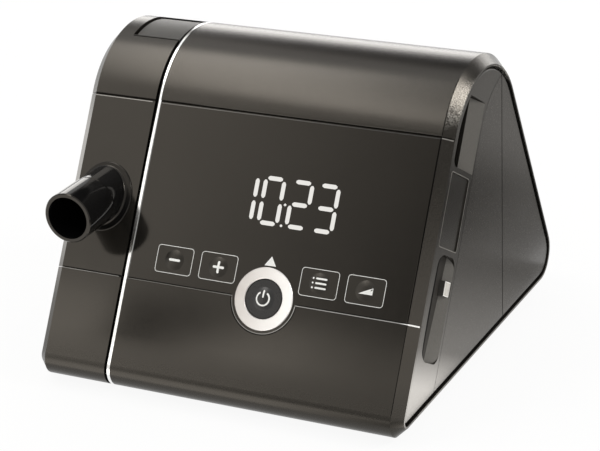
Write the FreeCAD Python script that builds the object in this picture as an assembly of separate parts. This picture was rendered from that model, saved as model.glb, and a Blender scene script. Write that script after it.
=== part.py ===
import FreeCAD, Part
import math
import os

# Bedside breathing-therapy machine: a tent-shaped housing with a display window, four keys and a
# start button on its sloping front, a plug-in strip down its right end, and a side section on its
# left end that carries the air outlet and slides off.
# X runs left to right, Y front to back, Z up. The origin is on the table, under the middle.

V = FreeCAD.Vector
Rotation = FreeCAD.Rotation
Placement = FreeCAD.Placement

# ---------------------------------------------------------------- housing
WIDTH = 170.0
DEPTH = 180.0
FRONT_ANGLE = 60.0
BACK_ANGLE = 62.0
TOP_R = 41.46
FRONT_R = 8.0
BACK_R = 16.0
FOOT_LIFT = 2.0
WALL = 2.5
BEVEL = 4.2
RIM_IN = 5.1
RIM_DEPTH = 4.2
LEDGE_IN = 6.0
LEDGE_T = 2.0
SEAM = 0.3
SEAM_CHAMFER = 0.35
SEAM_REACH = 12.0
CLEAR = 0.15
SEAT = 0.1

# Seams: the lower and back ones are measured up the slopes from the corner with the underside,
# the upper one down from where the slope starts to curve, the base one back from the front corner
LOWER_SEAM = 51.4
UPPER_SEAM_DROP = 1.6
BACK_SEAM = 28.5
BASE_SEAM_IN = 23.9

# ---------------------------------------------------------------- side section and trim
SECTION_W = 33.6
TRIM_T = 1.8
TRIM_BAND = 5.4
TRIM_GAP = 1.0
DOCK_WALL_T = 2.5
TONGUE_L = 8.4
TONGUE_W = 14.0
TONGUE_T = 4.0
TONGUE_Z = 11.0
TONGUE_FRONT_IN = 37.9
TONGUE_BACK_IN = 52.6
TONGUE_DROP = 17.0

# ---------------------------------------------------------------- right end
CAP_IN = 6.0
CAP_SINK = 0.6
CAP_FACE_T = 2.2
CAP_EDGE_R = 1.0
STRIP_BACK = 33.3
STRIP_RISE = 8.8
STRIP_ARC_R = 35.0
SIDE_SEAM_BEHIND = 21.1

# Pockets of the plug-in strip: heights from the seams, depths back from the front slope
FINGER_LOW = -9.8
FINGER_HIGH = 20.8
FINGER_IN = 8.7
FINGER_END_BACK = 32.2
FINGER_R = 3.5
GROOVE_END_BACK = 20.2
GROOVE_DEPTH = 5.2
FINGER_DEPTH = 2.55
MODULE_LOW = -13.4
MODULE_HIGH = 31.1
MODULE_BACK = 12.5
MODULE_END_BACK = 31.2
MODULE_FLAT_LOW = 10.2
MODULE_FLAT_HIGH = 15.3
MODULE_DEPTH = 2.9
MODULE_R = 5.0
LABEL_OFF = 2.7
LABEL_HIGH = -12.1
LABEL_BACK = 8.8
LABEL_END_BACK = 29.9
LABEL_DEPTH = 0.5
LABEL_R = 1.2
POCKET_FLOOR = 1.5

# ---------------------------------------------------------------- front
WINDOW_T = 2.0
WINDOW_GAP = 0.4
WINDOW_CHAMFER = 0.25
FRAME_T = 2.5
RING_UP = 0.5
RING_R = 13.2
RING_IN_R = 8.45
RING_PROUD = 0.5
RING_CHAMFER = 0.3
LOBE_R = 15.0
LOBE_LAP = 1.3
BUTTON_R = 8.25
BUTTON_PROUD = 0.25
DOME_R = 4.9
DOME_H = 0.9
FLANGE_LAP = 0.9
FLANGE_T = 1.0
BUTTON_TRAVEL = 0.8
KEY_W = 17.1
KEY_H = 11.75
KEY_R = 1.5
KEY_PITCH = 20.8
KEY_INNER = 14.7
KEY_UP = 10.4
KEY_GAP = 0.15
KEY_DOME_R = 4.4
KEY_DOME_H = 0.7
KEY_TRAVEL = 0.5
STEM_R = 2.2
STEM_L = 2.9
STOP_GAP = 0.15
SWITCH_W = 6.0
SWITCH_T = 1.2
PLUNGER_R = 1.7

# ---------------------------------------------------------------- electronics
BOARD_T = 1.6
BOARD_EDGE = 9.0
DISPLAY_BOARD_BACK = 8.6
DISPLAY_BOARD_IN = 4.6
DISPLAY_BOARD_BELOW = 8.4
DISPLAY_BOARD_DROP = 15.2
BOARD_POST_R = 2.5
BOARD_POST_EDGE = 5.0
LED_W = 54.0
LED_H = 25.0
LED_SHIFT = 1.6
LED_RISE = 2.7
LED_FACE_BACK = 3.2
DIGIT_SHIFTS = (-22.7, -10.55, 2.35, 14.3)
DIGIT_W = 8.5
DIGIT_H = 18.8
SEGMENT_W = 1.9
SEGMENT_T = 0.5
SEGMENT_GAP = 0.9
COLON_R = 0.6
COLON_DROPS = (9.6, 0.8)
MAIN_BOARD_BACK = 20.6
MAIN_BOARD_W = 84.0
MAIN_BOARD_ABOVE = 8.6
MAIN_BOARD_RISE = 21.8
CHIP_W = 12.0
CHIP_T = 1.4
CHIP_SPOTS = ((10.0, 12.0), (20.0, 46.0), (50.0, 30.0))
SPACER_R = 2.5
SPACER_IN = 6.0
CARD_W = 24.0
CARD_L = 32.0
CARD_T = 2.1
CARD_CORNER = 3.5
CARD_PROUD = 1.0
CARD_RISE = 5.5
CARD_BACK = 17.9
CARD_CLEAR = 0.25
SHEET = 0.8
SOCKET_W = 6.2
SOCKET_DROP = 13.0
SOCKET_BACK = 27.9
SOCKET_L = 14.0
SOCKET_SINK = 0.3
SOCKET_WALL = 0.5
SOCKET_DEEP = 8.0
SOCKET_TONGUE_T = 1.2
POWER_BOARD_IN = 6.2
POWER_BOARD_W = 16.0
POWER_BOARD_FRONT_IN = 37.9
POWER_BOARD_BACK_IN = 54.6
POWER_BOARD_Z = 10.0
CAPACITOR_R = 5.0
CAPACITOR_H = 20.0
CAPACITOR_SPOTS = (14.0, 28.0)
CHOKE_W = 14.0
CHOKE_L = 20.0
CHOKE_H = 14.0
CHOKE_SPOT = 50.0
INLET_IN = 23.6
INLET_Z = 38.0
INLET_R = 8.8
INLET_WALL = 1.4
INLET_SUNK = 6.0
INLET_L = 15.0
INLET_BORE_R = 3.1
INLET_PIN_R = 1.0
INLET_BORE_L = 9.5

# ---------------------------------------------------------------- air path
TUBE_IN = 17.3
TUBE_DROP = 4.5
TUBE_R = 11.0
TUBE_BORE_R = 9.3
TUBE_REACH = 29.8
TUBE_SEAT_L = 19.2
TUBE_STEP = 0.3
TUBE_RELIEF_L = 1.5
TUBE_FLANGE_R = 13.0
TUBE_FLANGE_T = 2.0
TUBE_FLANGE_IN = 11.4
COLLAR_W = 26.4
COLLAR_L = 30.2
COLLAR_SHIFT = 0.8
COLLAR_DROP = 1.2
COLLAR_T = 0.7
COLLAR_EDGE = 0.45
COLLAR_FILLET = 1.0
ELBOW_R = 10.5
ELBOW_BORE_R = 8.8
ELBOW_CLEAR = 0.9
SEAL_LIP = 1.4
SEAL_GROOVE = 0.9
HOSE_WALL = 1.3
HOSE_RIDGE = 1.6
HOSE_RIDGES = 4
HOSE_LAP = 10.0
BLOWER_SHIFT = 9.9
BLOWER_BEHIND = 13.1
SCROLL_R = 24.0
SCROLL_GROW = 3.0
SCROLL_H = 17.0
SCROLL_WALL = 1.8
SCROLL_PIPE_L = 46.0
SCROLL_PIPE_R = 10.0
SCROLL_PIPE_BORE = 8.5
INLET_EYE_R = 12.0
IMPELLER_R = 21.0
IMPELLER_EYE_R = 10.5
IMPELLER_PLATE = 1.2
IMPELLER_GAP = 2.0
BLADE_COUNT = 11
BLADE_T = 0.9
BLADE_SWEEP = 38.0
HUB_R = 6.0
SHAFT_R = 2.0
SHAFT_FIT = 0.05
HUB_FIT = 0.02
MOTOR_R = 17.0
MOTOR_H = 21.0
MOTOR_WALL = 1.2
BEARING_R = 5.0
BEARING_T = 3.0
ROTOR_R = 8.8
ROTOR_H = 12.0
STATOR_GAP = 0.5
STATOR_SLOTS = 6
STATOR_SLOT_R = 1.7
AIR_BOX_LEFT_IN = 30.6
AIR_BOX_RIGHT_IN = 15.0
AIR_BOX_FRONT_IN = 57.9
AIR_BOX_BACK_IN = 40.6
AIR_BOX_H = 43.5
AIR_BOX_WALL = 2.0
LID_T = 2.0
PAD_T = 2.0
PAD_R = 5.0
RIB_T = 1.2
RIB_H = 1.5
RIB_COUNT = 5
RIB_END = 3.0
LUG_R = 4.5
LUG_H = 8.0
LUG_OUT = 2.7
LUG_IN = 13.5
FOAM_T = 26.0
FOAM_GAP = 0.3
BELLOWS_R = 15.5
BELLOWS_WALL = 1.4
BELLOWS_RIDGE = 2.2
BELLOWS_RIDGES = 2
SPIGOT_L = 4.0
INTAKE_IN = 25.0
INTAKE_W = 48.0
INTAKE_ABOVE = 3.0
INTAKE_H = 25.0
INTAKE_WALL = 1.5
INTAKE_R = 1.5
FILTER_T = 6.3
FILTER_GAP = 0.3
FILTER_STEP = 1.2
COVER_T = 2.4
COVER_GAP = 0.3
SLOT_COUNT = 6
SLOT_H = 2.0
SLOT_PITCH = 3.2
SLOT_END = 6.0
HINGE_R = 0.8
HINGE_L = 2.0
HINGE_FIT = 0.08

# ---------------------------------------------------------------- release button, feet, screws
RELEASE_IN = 11.1
RELEASE_FRONT = 13.3
RELEASE_BEHIND = 15.1
RELEASE_GAP = 0.3
RELEASE_SIDE_GAP = 1.2
RELEASE_SINK = 0.8
RELEASE_T = 2.2
RELEASE_FLANGE = 1.3
RELEASE_STEM = 6.0
RELEASE_STEM_DROP = 19.1
RELEASE_STEM_BEHIND = 1.0
SPRING_H = 8.0
SPRING_T = 0.5
SPRING_W = 5.0
SHELF_T = 2.5
SHELF_L = 18.0
FOOT_R = 7.0
FOOT_RECESS = 1.0
FOOT_EDGE = 0.5
FOOT_SIDE_IN = 13.0
FOOT_FRONT_IN = 34.0
FOOT_BACK_IN = 42.0
SCREW_R = 1.5
SCREW_FIT = 0.05
SCREW_HEAD_R = 2.8
SCREW_HEAD_T = 1.8
SCREW_L = 8.0

# ---------------------------------------------------------------- worked-out values
A = math.radians(FRONT_ANGLE)
B = math.radians(BACK_ANGLE)
BASE_L = DEPTH - FRONT_R - BACK_R + FRONT_R / math.tan(A / 2) + BACK_R / math.tan(B / 2)
FRONT_Y = -DEPTH / 2 + FRONT_R - FRONT_R / math.tan(A / 2)
BACK_Y = FRONT_Y + BASE_L
FRONT_L = BASE_L * math.sin(B) / math.sin(A + B)
RIDGE_Y = FRONT_Y + FRONT_L * math.cos(A)
RIDGE_Z = FOOT_LIFT + FRONT_L * math.sin(A)
TOP_Y = RIDGE_Y + TOP_R * (math.cos(B) - math.cos(A)) / math.sin(A + B)
TOP_Z = RIDGE_Z + TOP_R * (1 - (math.sin(A) + math.sin(B)) / math.sin(A + B))

UPPER_SEAM = FRONT_L - TOP_R * math.tan((A + B) / 2) - UPPER_SEAM_DROP
MIDDLE = (LOWER_SEAM + UPPER_SEAM) / 2
X_RIGHT = WIDTH / 2
X_LEFT = -WIDTH / 2
X_SECTION = X_LEFT + SECTION_W
X_TRIM = X_SECTION + TRIM_GAP
X_MAIN = X_TRIM + TRIM_T
X_WALL = X_SECTION - DOCK_WALL_T
X_DOCK = X_MAIN + DOCK_WALL_T
X_LEDGE = X_RIGHT - RIM_DEPTH
X_FACE = X_RIGHT - CAP_SINK
X_BEVEL = X_RIGHT - BEVEL
FAR = 400.0
UP = V(0, 0, 1)

RING_X = (X_MAIN + X_BEVEL) / 2
RING_S = LOWER_SEAM + RING_UP
KEY_S = LOWER_SEAM + KEY_UP
LED_X = RING_X + LED_SHIFT
LED_S = MIDDLE + LED_RISE
DISPLAY_BOARD = (X_MAIN + DISPLAY_BOARD_IN, X_RIGHT - BOARD_EDGE,
                 LOWER_SEAM - DISPLAY_BOARD_BELOW, UPPER_SEAM - DISPLAY_BOARD_DROP)
MAIN_BOARD = (X_RIGHT - BOARD_EDGE - MAIN_BOARD_W, X_RIGHT - BOARD_EDGE,
              LOWER_SEAM + MAIN_BOARD_ABOVE, UPPER_SEAM + MAIN_BOARD_RISE)
FINGER_S = (UPPER_SEAM + FINGER_LOW, UPPER_SEAM + FINGER_HIGH)
MODULE_S = (LOWER_SEAM + MODULE_LOW, LOWER_SEAM + MODULE_HIGH)
LABEL_S = (MODULE_S[1] + LABEL_OFF, UPPER_SEAM + LABEL_HIGH)
STRIP_S = UPPER_SEAM + STRIP_RISE
CARD_S = UPPER_SEAM + CARD_RISE
SOCKET_S = MODULE_S[1] - SOCKET_DROP
SIDE_SEAM_Y = TOP_Y + SIDE_SEAM_BEHIND
BASE_SEAM_Y = FRONT_Y + BASE_SEAM_IN
POWER_BOARD = (X_MAIN + POWER_BOARD_IN, X_MAIN + POWER_BOARD_IN + POWER_BOARD_W,
               FRONT_Y + POWER_BOARD_FRONT_IN, BACK_Y - POWER_BOARD_BACK_IN)
INLET_X = X_MAIN + INLET_IN
INLET_FACE_Y = BACK_Y - (INLET_Z - FOOT_LIFT) / math.tan(B) - INLET_SUNK
TUBE_X = X_LEFT + TUBE_IN
TUBE_S = MIDDLE - TUBE_DROP
TUBE_Z = FOOT_LIFT + TUBE_S * math.sin(A)
TUBE_ROOT_Y = FRONT_Y + TUBE_S * math.cos(A)
TUBE_MOUTH_Y = TUBE_ROOT_Y - TUBE_REACH
TUBE_FLANGE_Y = TUBE_ROOT_Y + TUBE_FLANGE_IN
BLOWER_X = RING_X + BLOWER_SHIFT
BLOWER_Y = TOP_Y + BLOWER_BEHIND
PORT_Y = BLOWER_Y - SCROLL_R - 2 * SCROLL_GROW
SCROLL_PIPE_END = BLOWER_X - SCROLL_PIPE_L
AIR_BOX = (X_MAIN + AIR_BOX_LEFT_IN, X_RIGHT - AIR_BOX_RIGHT_IN,
           FRONT_Y + AIR_BOX_FRONT_IN, BACK_Y - AIR_BOX_BACK_IN)
INTAKE_X = (X_RIGHT - INTAKE_IN - INTAKE_W, X_RIGHT - INTAKE_IN)
INTAKE_V = (BACK_SEAM + INTAKE_ABOVE, BACK_SEAM + INTAKE_ABOVE + INTAKE_H)
RELEASE_X0 = X_LEFT + RELEASE_IN
RELEASE_Y = (TOP_Y - RELEASE_FRONT, TOP_Y + RELEASE_BEHIND)
RELEASE_STEM_Y = TOP_Y + RELEASE_STEM_BEHIND
RELEASE_STEM_Z = TOP_Z - RELEASE_STEM_DROP
TONGUE_PLACES = ((FRONT_Y + TONGUE_FRONT_IN, TONGUE_Z), (BACK_Y - TONGUE_BACK_IN, TONGUE_Z),
                 (TOP_Y + TONGUE_W / 2, TOP_Z - TONGUE_DROP))

# Frames: in each, the third axis points out of the surface
FRONT = Placement(V(0, FRONT_Y, FOOT_LIFT), Rotation(V(1, 0, 0), FRONT_ANGLE))
BACK = Placement(V(0, BACK_Y, FOOT_LIFT),
                 Rotation(V(1, 0, 0), -BACK_ANGLE).multiply(Rotation(UP, 180)))
SIDE = Placement(V(0, FRONT_Y, FOOT_LIFT),
                 Rotation(V(1, 0, 0), FRONT_ANGLE).multiply(Rotation(V(1, 1, 1), 120)))


# ---------------------------------------------------------------- helpers
def set_in(shape, frame):
    """Move a shape made in a local frame to its place."""
    shape.Placement = frame.multiply(shape.Placement)
    return shape


def rounded_wire(points, radii):
    """A closed flat outline whose corners are tangent arcs."""
    edges = []
    last = None
    first = None
    count = len(points)
    for i in range(count):
        corner = points[i]
        before = (points[i - 1] - corner).normalize()
        after = (points[(i + 1) % count] - corner).normalize()
        if radii[i] > 0:
            half = before.getAngle(after) / 2
            run = radii[i] / math.tan(half)
            start = corner + before * run
            end = corner + after * run
            middle = corner + (before + after).normalize() * (radii[i] / math.sin(half) - radii[i])
            edge = Part.Arc(start, middle, end).toShape()
        else:
            start = end = corner
            edge = None
        if last is not None:
            edges.append(Part.LineSegment(last, start).toShape())
        else:
            first = start
        if edge is not None:
            edges.append(edge)
        last = end
    edges.append(Part.LineSegment(last, first).toShape())
    return Part.Wire(edges)


def extrude(points, radii, along):
    return Part.Face(rounded_wire(points, radii)).extrude(along)


def slab(u0, u1, v0, v1, w0, w1, r=0.0):
    """A plate with rounded corners, in a local frame."""
    points = [V(u0, v0, w0), V(u1, v0, w0), V(u1, v1, w0), V(u0, v1, w0)]
    return extrude(points, [r] * len(points), V(0, 0, w1 - w0))


def disc(u, v, r, w0, w1):
    return Part.makeCylinder(r, w1 - w0, V(u, v, w0), UP)


def tube(axis_point, axis, length, r, bore):
    outer = Part.makeCylinder(r, length, axis_point, axis)
    return outer.cut(Part.makeCylinder(bore, length, axis_point, axis))


def turned(points, centre, axis=UP, arcs=()):
    """A solid of revolution. points are (radius, height); arcs maps an edge's index to its middle."""
    side = V(0, 0, 1).cross(axis)
    if side.Length < 1e-6:
        side = V(1, 0, 0)
    side.normalize()
    placed = [centre + side * r + axis * h for r, h in points]
    edges = []
    middles = dict(arcs)
    for i, start in enumerate(placed):
        end = placed[(i + 1) % len(placed)]
        if i in middles:
            r, h = middles[i]
            edges.append(Part.Arc(start, centre + side * r + axis * h, end).toShape())
        else:
            edges.append(Part.LineSegment(start, end).toShape())
    return Part.Face(Part.Wire(edges)).revolve(centre, axis, 360)


def corrugated(centre, axis, length, bore, wall, ridge, ridges):
    """A soft sleeve with rounded ridges along its middle."""
    outer = bore + wall
    pitch = length / (ridges + 1)
    points = [(bore, 0), (outer, 0)]
    middles = {}
    for k in range(ridges):
        middle = pitch * (k + 1)
        points.append((outer, middle - pitch / 3))
        middles[len(points) - 1] = (outer + ridge, middle)
        points.append((outer, middle + pitch / 3))
    points.append((outer, length))
    points.append((bore, length))
    return turned(points, centre, axis, middles)


def body_of(shape):
    """The one solid that a cut or a fuse leaves."""
    shape = shape.removeSplitter()
    return max(shape.Solids, key=lambda solid: solid.Volume)


def piece_at(shape, point):
    """The separate solid of a cut shape that holds a point."""
    for solid in shape.Solids:
        if solid.isInside(point, 1e-4, True):
            return solid
    raise ValueError("no piece of the housing at this point")


def front_point(x, s, n):
    return FRONT.multVec(V(x, s, -n))


# ---------------------------------------------------------------- housing sections
def corner_points(x, inset):
    front_shift = inset / math.sin(A)
    ridge_shift = inset / math.sin(A + B)
    back_shift = inset / math.sin(B)
    front = V(x, FRONT_Y + front_shift * (1 + math.cos(A)), FOOT_LIFT + inset)
    ridge = V(x, RIDGE_Y + ridge_shift * (math.cos(B) - math.cos(A)),
              RIDGE_Z - ridge_shift * (math.sin(A) + math.sin(B)))
    back = V(x, BACK_Y - back_shift * (1 + math.cos(B)), FOOT_LIFT + inset)
    return [front, ridge, back]


def section_wire(x, inset=0.0):
    """The tent-shaped outline of the housing, drawn in by inset."""
    small = WALL / 4
    radii = [max(FRONT_R - inset, small), max(TOP_R - inset, small), max(BACK_R - inset, small)]
    return rounded_wire(corner_points(x, inset), radii)


def prism(inset, x0, x1):
    return Part.Face(section_wire(x0, inset)).extrude(V(x1 - x0, 0, 0))


def sleeve(x_open, x_end):
    """The wrap-round skin from a flat open end to a bevelled end with a rim and a ledge inside."""
    way = math.copysign(1.0, x_end - x_open)
    x_bevel = x_end - way * BEVEL
    bevel = Part.makeLoft([section_wire(x_bevel), section_wire(x_end, BEVEL)], True, True)
    outer = prism(0.0, x_open, x_bevel).fuse(bevel)
    ledge = x_end - way * RIM_DEPTH
    inner = prism(WALL, x_open - way * WALL, ledge - way * LEDGE_T)
    inner = inner.fuse(prism(LEDGE_IN, ledge - way * LEDGE_T, ledge))
    inner = inner.fuse(prism(RIM_IN, ledge, x_end + way * WALL))
    return body_of(outer.cut(inner))


def seam_knife(frame, along):
    """A thin slot across a sloping wall, with both of its edges eased."""
    half = SEAM / 2
    reach = SEAM_REACH
    wide = half + SEAM_CHAMFER
    points = [V(-FAR / 2, along - half, -reach), V(-FAR / 2, along + half, -reach),
              V(-FAR / 2, along + half, -SEAM_CHAMFER), V(-FAR / 2, along + wide, 0),
              V(-FAR / 2, along + wide, SEAM), V(-FAR / 2, along - wide, SEAM),
              V(-FAR / 2, along - wide, 0), V(-FAR / 2, along - half, -SEAM_CHAMFER)]
    return set_in(extrude(points, [0] * len(points), V(FAR, 0, 0)), frame)


def base_knife():
    return Part.makeBox(FAR, SEAM, 2 * RIM_IN + LEDGE_IN,
                        V(-FAR / 2, BASE_SEAM_Y - SEAM / 2, FOOT_LIFT - RIM_IN))


def end_cap(x_end):
    """A lid that lies inside the rim, seated on the ledge, with a softened edge."""
    way = math.copysign(1.0, x_end)
    ledge = x_end - way * RIM_DEPTH
    face = x_end - way * CAP_SINK
    step = face - way * CAP_FACE_T
    lid = prism(CAP_IN, step, face)
    rim = [edge for edge in lid.Edges if abs(edge.CenterOfMass.x - face) < SEAT
           and abs(edge.BoundBox.XLength) < SEAT]
    lid = lid.makeFillet(CAP_EDGE_R, rim)
    return body_of(lid.fuse(prism(RIM_IN + CLEAR, ledge, step)))


# ---------------------------------------------------------------- main skin
def key_places():
    """Centres of the keys across the front, in the order minus, plus, menu, ramp."""
    near = KEY_INNER + KEY_W / 2
    far = near + KEY_PITCH
    return [RING_X - far, RING_X - near, RING_X + near, RING_X + far]


def key_slab(x, grow, w0, w1):
    return slab(x - KEY_W / 2 - grow, x + KEY_W / 2 + grow,
                KEY_S - KEY_H / 2 - grow, KEY_S + KEY_H / 2 + grow, w0, w1, KEY_R + grow)


def make_front_frame(skin):
    back = -(WINDOW_T + SEAT + FRAME_T)
    seat = -(WINDOW_T + SEAT)
    low = LOWER_SEAM + SEAM / 2
    high = UPPER_SEAM - SEAM / 2
    dock = X_DOCK + CLEAR
    inside = X_LEDGE - LEDGE_T
    plate = slab(dock, inside, low, high, back, seat)
    plate = plate.fuse(disc(RING_X, RING_S, LOBE_R + LOBE_LAP, back, seat))
    pocket = slab(X_MAIN - WALL, X_BEVEL, low - WALL, high + WALL, seat, WALL)
    reach = back - WALL
    holes = [disc(RING_X, RING_S, BUTTON_R + FLANGE_LAP + 2 * CLEAR, reach, WALL)]
    holes.append(slab(X_MAIN - WALL, dock, low - WALL, high + WALL, reach, WALL))
    for x in key_places():
        holes.append(key_slab(x, FLANGE_LAP + 2 * CLEAR, reach, WALL))
    holes.append(slab(LED_X - LED_W / 2 - CLEAR, LED_X + LED_W / 2 + CLEAR,
                      LED_S - LED_H / 2 - CLEAR, LED_S + LED_H / 2 + CLEAR, reach, WALL))
    x0, x1, s0, s1 = DISPLAY_BOARD
    posts = []
    for x in (x0 + BOARD_POST_EDGE, x1 - BOARD_POST_EDGE):
        for s in (s0 + 3 * BOARD_POST_EDGE, s1 - BOARD_POST_EDGE):
            posts.append(disc(x, s, BOARD_POST_R, -DISPLAY_BOARD_BACK, back))
    local = plate.fuse(posts)
    for shape in [pocket] + holes:
        set_in(shape, FRONT)
    frame = skin.fuse(set_in(local, FRONT)).cut([pocket] + holes)
    return body_of(frame)


def make_window():
    low = LOWER_SEAM + SEAM / 2
    high = UPPER_SEAM - SEAM / 2
    pane = slab(X_MAIN, X_BEVEL - WINDOW_GAP, low, high, -WINDOW_T, 0)
    pane = pane.fuse(disc(RING_X, RING_S, LOBE_R, -WINDOW_T, 0)).removeSplitter()
    front = [edge for edge in pane.Edges
             if abs(edge.BoundBox.ZMin) < SEAT and abs(edge.BoundBox.ZMax) < SEAT]
    pane = pane.makeChamfer(WINDOW_CHAMFER, front)
    holes = [disc(RING_X, RING_S, RING_R + SEAT, -2 * WINDOW_T, WINDOW_T)]
    for x in key_places():
        holes.append(key_slab(x, KEY_GAP, -2 * WINDOW_T, WINDOW_T))
    return set_in(body_of(pane.cut(holes)), FRONT)


def make_lower_shell(skin):
    lobe = disc(RING_X, RING_S, LOBE_R + KEY_GAP, -SEAM_REACH, SEAM_REACH)
    lap = disc(RING_X, RING_S, LOBE_R + LOBE_LAP + CLEAR, -SEAM_REACH, -WINDOW_T)
    return body_of(skin.cut([set_in(lobe, FRONT), set_in(lap, FRONT)]))


def intake_box(grow, w0, w1):
    """A block square to the sloping back, as large as the intake opening and rounded at the top."""
    u0 = -INTAKE_X[1] - grow
    u1 = -INTAKE_X[0] + grow
    v0 = INTAKE_V[0] - grow
    v1 = INTAKE_V[1] + grow
    points = [V(u0, v0, w0), V(u1, v0, w0), V(u1, v1, w0), V(u0, v1, w0)]
    return set_in(extrude(points, [0, 0, INTAKE_R, INTAKE_R], V(0, 0, w1 - w0)), BACK)


def make_top_shell(skin):
    """Top and back of the housing, with the filter opening, the power inlet and hinge holes."""
    opening = intake_box(0.0, -2 * WALL, WALL)
    jack = Part.makeCylinder(INLET_R + SEAT, DEPTH, V(INLET_X, 0, INLET_Z), V(0, 1, 0))
    pins = hinge_pins(HINGE_FIT, HINGE_L + COVER_GAP + HINGE_FIT)
    return body_of(skin.cut([opening, jack] + pins))


def make_base_tray(skin):
    """Underside and rounded rear edge, with ribs, pads for the air box and posts for the power board."""
    floor = FOOT_LIFT + WALL
    adds = tray_ribs(floor)
    cuts = []
    for x, y in lug_places():
        adds.append(disc(x, y, PAD_R, floor, floor + PAD_T))
        cuts.append(disc(x, y, SCREW_R + CLEAR, FOOT_LIFT - WALL, floor + 2 * PAD_T))
        cuts.append(disc(x, y, SCREW_HEAD_R + CLEAR, FOOT_LIFT - WALL, FOOT_LIFT + SCREW_HEAD_T))
    for x, y in power_post_places():
        adds.append(disc(x, y, BOARD_POST_R, floor, POWER_BOARD_Z))
    for x, y in foot_places():
        cuts.append(disc(x, y, FOOT_R + CLEAR, FOOT_LIFT - WALL, FOOT_LIFT + FOOT_RECESS))
    return body_of(skin.fuse(adds).cut(cuts))


def tray_ribs(floor):
    """Ribs that stiffen the flat of the tray: some across, one along each side."""
    x0 = X_MAIN + DOCK_WALL_T + RIB_END
    x1 = X_LEDGE - LEDGE_T - RIB_END
    y0 = BASE_SEAM_Y + RIB_END
    y1 = BACK_Y - BACK_R / math.tan(B / 2)
    ribs = []
    for k in range(RIB_COUNT):
        y = y0 + (y1 - y0 - RIB_T) * k / (RIB_COUNT - 1)
        ribs.append(Part.makeBox(x1 - x0, RIB_T, RIB_H, V(x0, y, floor)))
    for x in (x0, x1 - RIB_T):
        ribs.append(Part.makeBox(RIB_T, y1 - y0, RIB_H, V(x, y0, floor)))
    return ribs


def foot_places():
    sides = (X_MAIN + FOOT_SIDE_IN, X_RIGHT - FOOT_SIDE_IN)
    return [(x, y) for x in sides for y in (FRONT_Y + FOOT_FRONT_IN, BACK_Y - FOOT_BACK_IN)]


def make_feet():
    feet = []
    top = FOOT_LIFT + FOOT_RECESS
    outline = [(0, 0), (FOOT_R - FOOT_EDGE, 0), (FOOT_R, FOOT_EDGE), (FOOT_R, top), (0, top)]
    for x, y in foot_places():
        feet.append(turned(outline, V(x, y, 0)))
    return Part.makeCompound(feet)


# ---------------------------------------------------------------- right end
def strip_zone(shift):
    """Everything in front of the curved seam between the plug-in strip and the side panels."""
    slope = V(0, math.cos(A), math.sin(A))
    inward = V(0, math.sin(A), -math.cos(A))
    corner = V(0, FRONT_Y, FOOT_LIFT)
    radius = STRIP_ARC_R - shift
    start = corner + slope * STRIP_S + inward * (STRIP_BACK + shift)
    centre = start + inward * radius
    foot = corner + slope * (-FAR / 4) + inward * (STRIP_BACK + shift)
    turn = (STRIP_S - FINGER_S[0]) / STRIP_ARC_R
    top = math.pi / 2
    middle = centre + (slope * math.sin(turn) - inward * math.cos(turn)) * radius
    end = centre + (slope * math.sin(top) - inward * math.cos(top)) * radius
    out = end + slope * FAR / 4
    away = out - inward * FAR
    low = foot - inward * FAR
    edges = [Part.LineSegment(foot, start).toShape(), Part.Arc(start, middle, end).toShape(),
             Part.LineSegment(end, out).toShape(), Part.LineSegment(out, away).toShape(),
             Part.LineSegment(away, low).toShape(), Part.LineSegment(low, foot).toShape()]
    return Part.Face(Part.Wire(edges)).extrude(V(FAR, 0, 0))


def split_right_cap():
    """The right end in three: the plug-in strip, the front side panel and the rear side panel."""
    cap = end_cap(X_RIGHT)
    knife = strip_zone(SEAM / 2).cut(strip_zone(-SEAM / 2))
    seam = Part.makeBox(FAR, SEAM, FAR, V(0, SIDE_SEAM_Y - SEAM / 2, 0))
    strip = body_of(cap.common(strip_zone(-SEAM / 2)).cut(
        Part.makeBox(FAR, FAR, FAR, V(0, SIDE_SEAM_Y - SEAM / 2, 0))))
    rest = cap.cut([strip_zone(SEAM / 2), knife, seam])
    halves = sorted(rest.Solids, key=lambda solid: -solid.Volume)[:2]
    halves.sort(key=lambda solid: solid.CenterOfMass.y)
    return strip, halves[0], halves[1]


def side_slab(s0, s1, n0, n1, x0, x1, r=0.0):
    return set_in(slab(s0, s1, -n1, -n0, x0, x1, r), SIDE)


def ramp_pocket(low, high, start, end, flat_low, flat_high, depth):
    """A pocket whose floor is level by its front wall and then ramps up to the surface."""
    over = X_FACE + WALL
    floor = X_FACE - depth
    ends = []
    for s, flat in ((low, flat_low), (high, flat_high)):
        ends.append(Part.makePolygon([V(s, -start, over), V(s, -start, floor), V(s, -start - flat, floor),
                                      V(s, -end, X_FACE), V(s, -end, over), V(s, -start, over)]))
    return set_in(Part.makeLoft(ends, True, True), SIDE)


def finger_zone(grow, x0, x1):
    """The outline of the finger pocket: its front edge runs along the machine's own outline."""
    inset = FINGER_IN - grow
    low = FINGER_S[0] - grow
    high = FINGER_S[1] + grow
    ridge, back = corner_points(x0, inset)[1:]
    points = [front_point(x0, low, inset), ridge, back, front_point(x0, low, FAR)]
    zone = extrude(points, [FINGER_R + grow, TOP_R - inset, 0, 0], V(x1 - x0, 0, 0))
    return zone.common(side_slab(low - FAR, high, 0, FINGER_END_BACK, x0, x1))


def card_slab(grow, x0, x1):
    return side_slab(CARD_S - CARD_W / 2 - grow, CARD_S + CARD_W / 2 + grow,
                     CARD_BACK - CARD_T / 2 - grow, CARD_BACK + CARD_T / 2 + grow, x0, x1)


def socket_slab(grow, x0, x1):
    return side_slab(SOCKET_S - SOCKET_W / 2 - grow, SOCKET_S + SOCKET_W / 2 + grow,
                     SOCKET_BACK - SOCKET_W / 2 - grow, SOCKET_BACK + SOCKET_W / 2 + grow, x0, x1)


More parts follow.
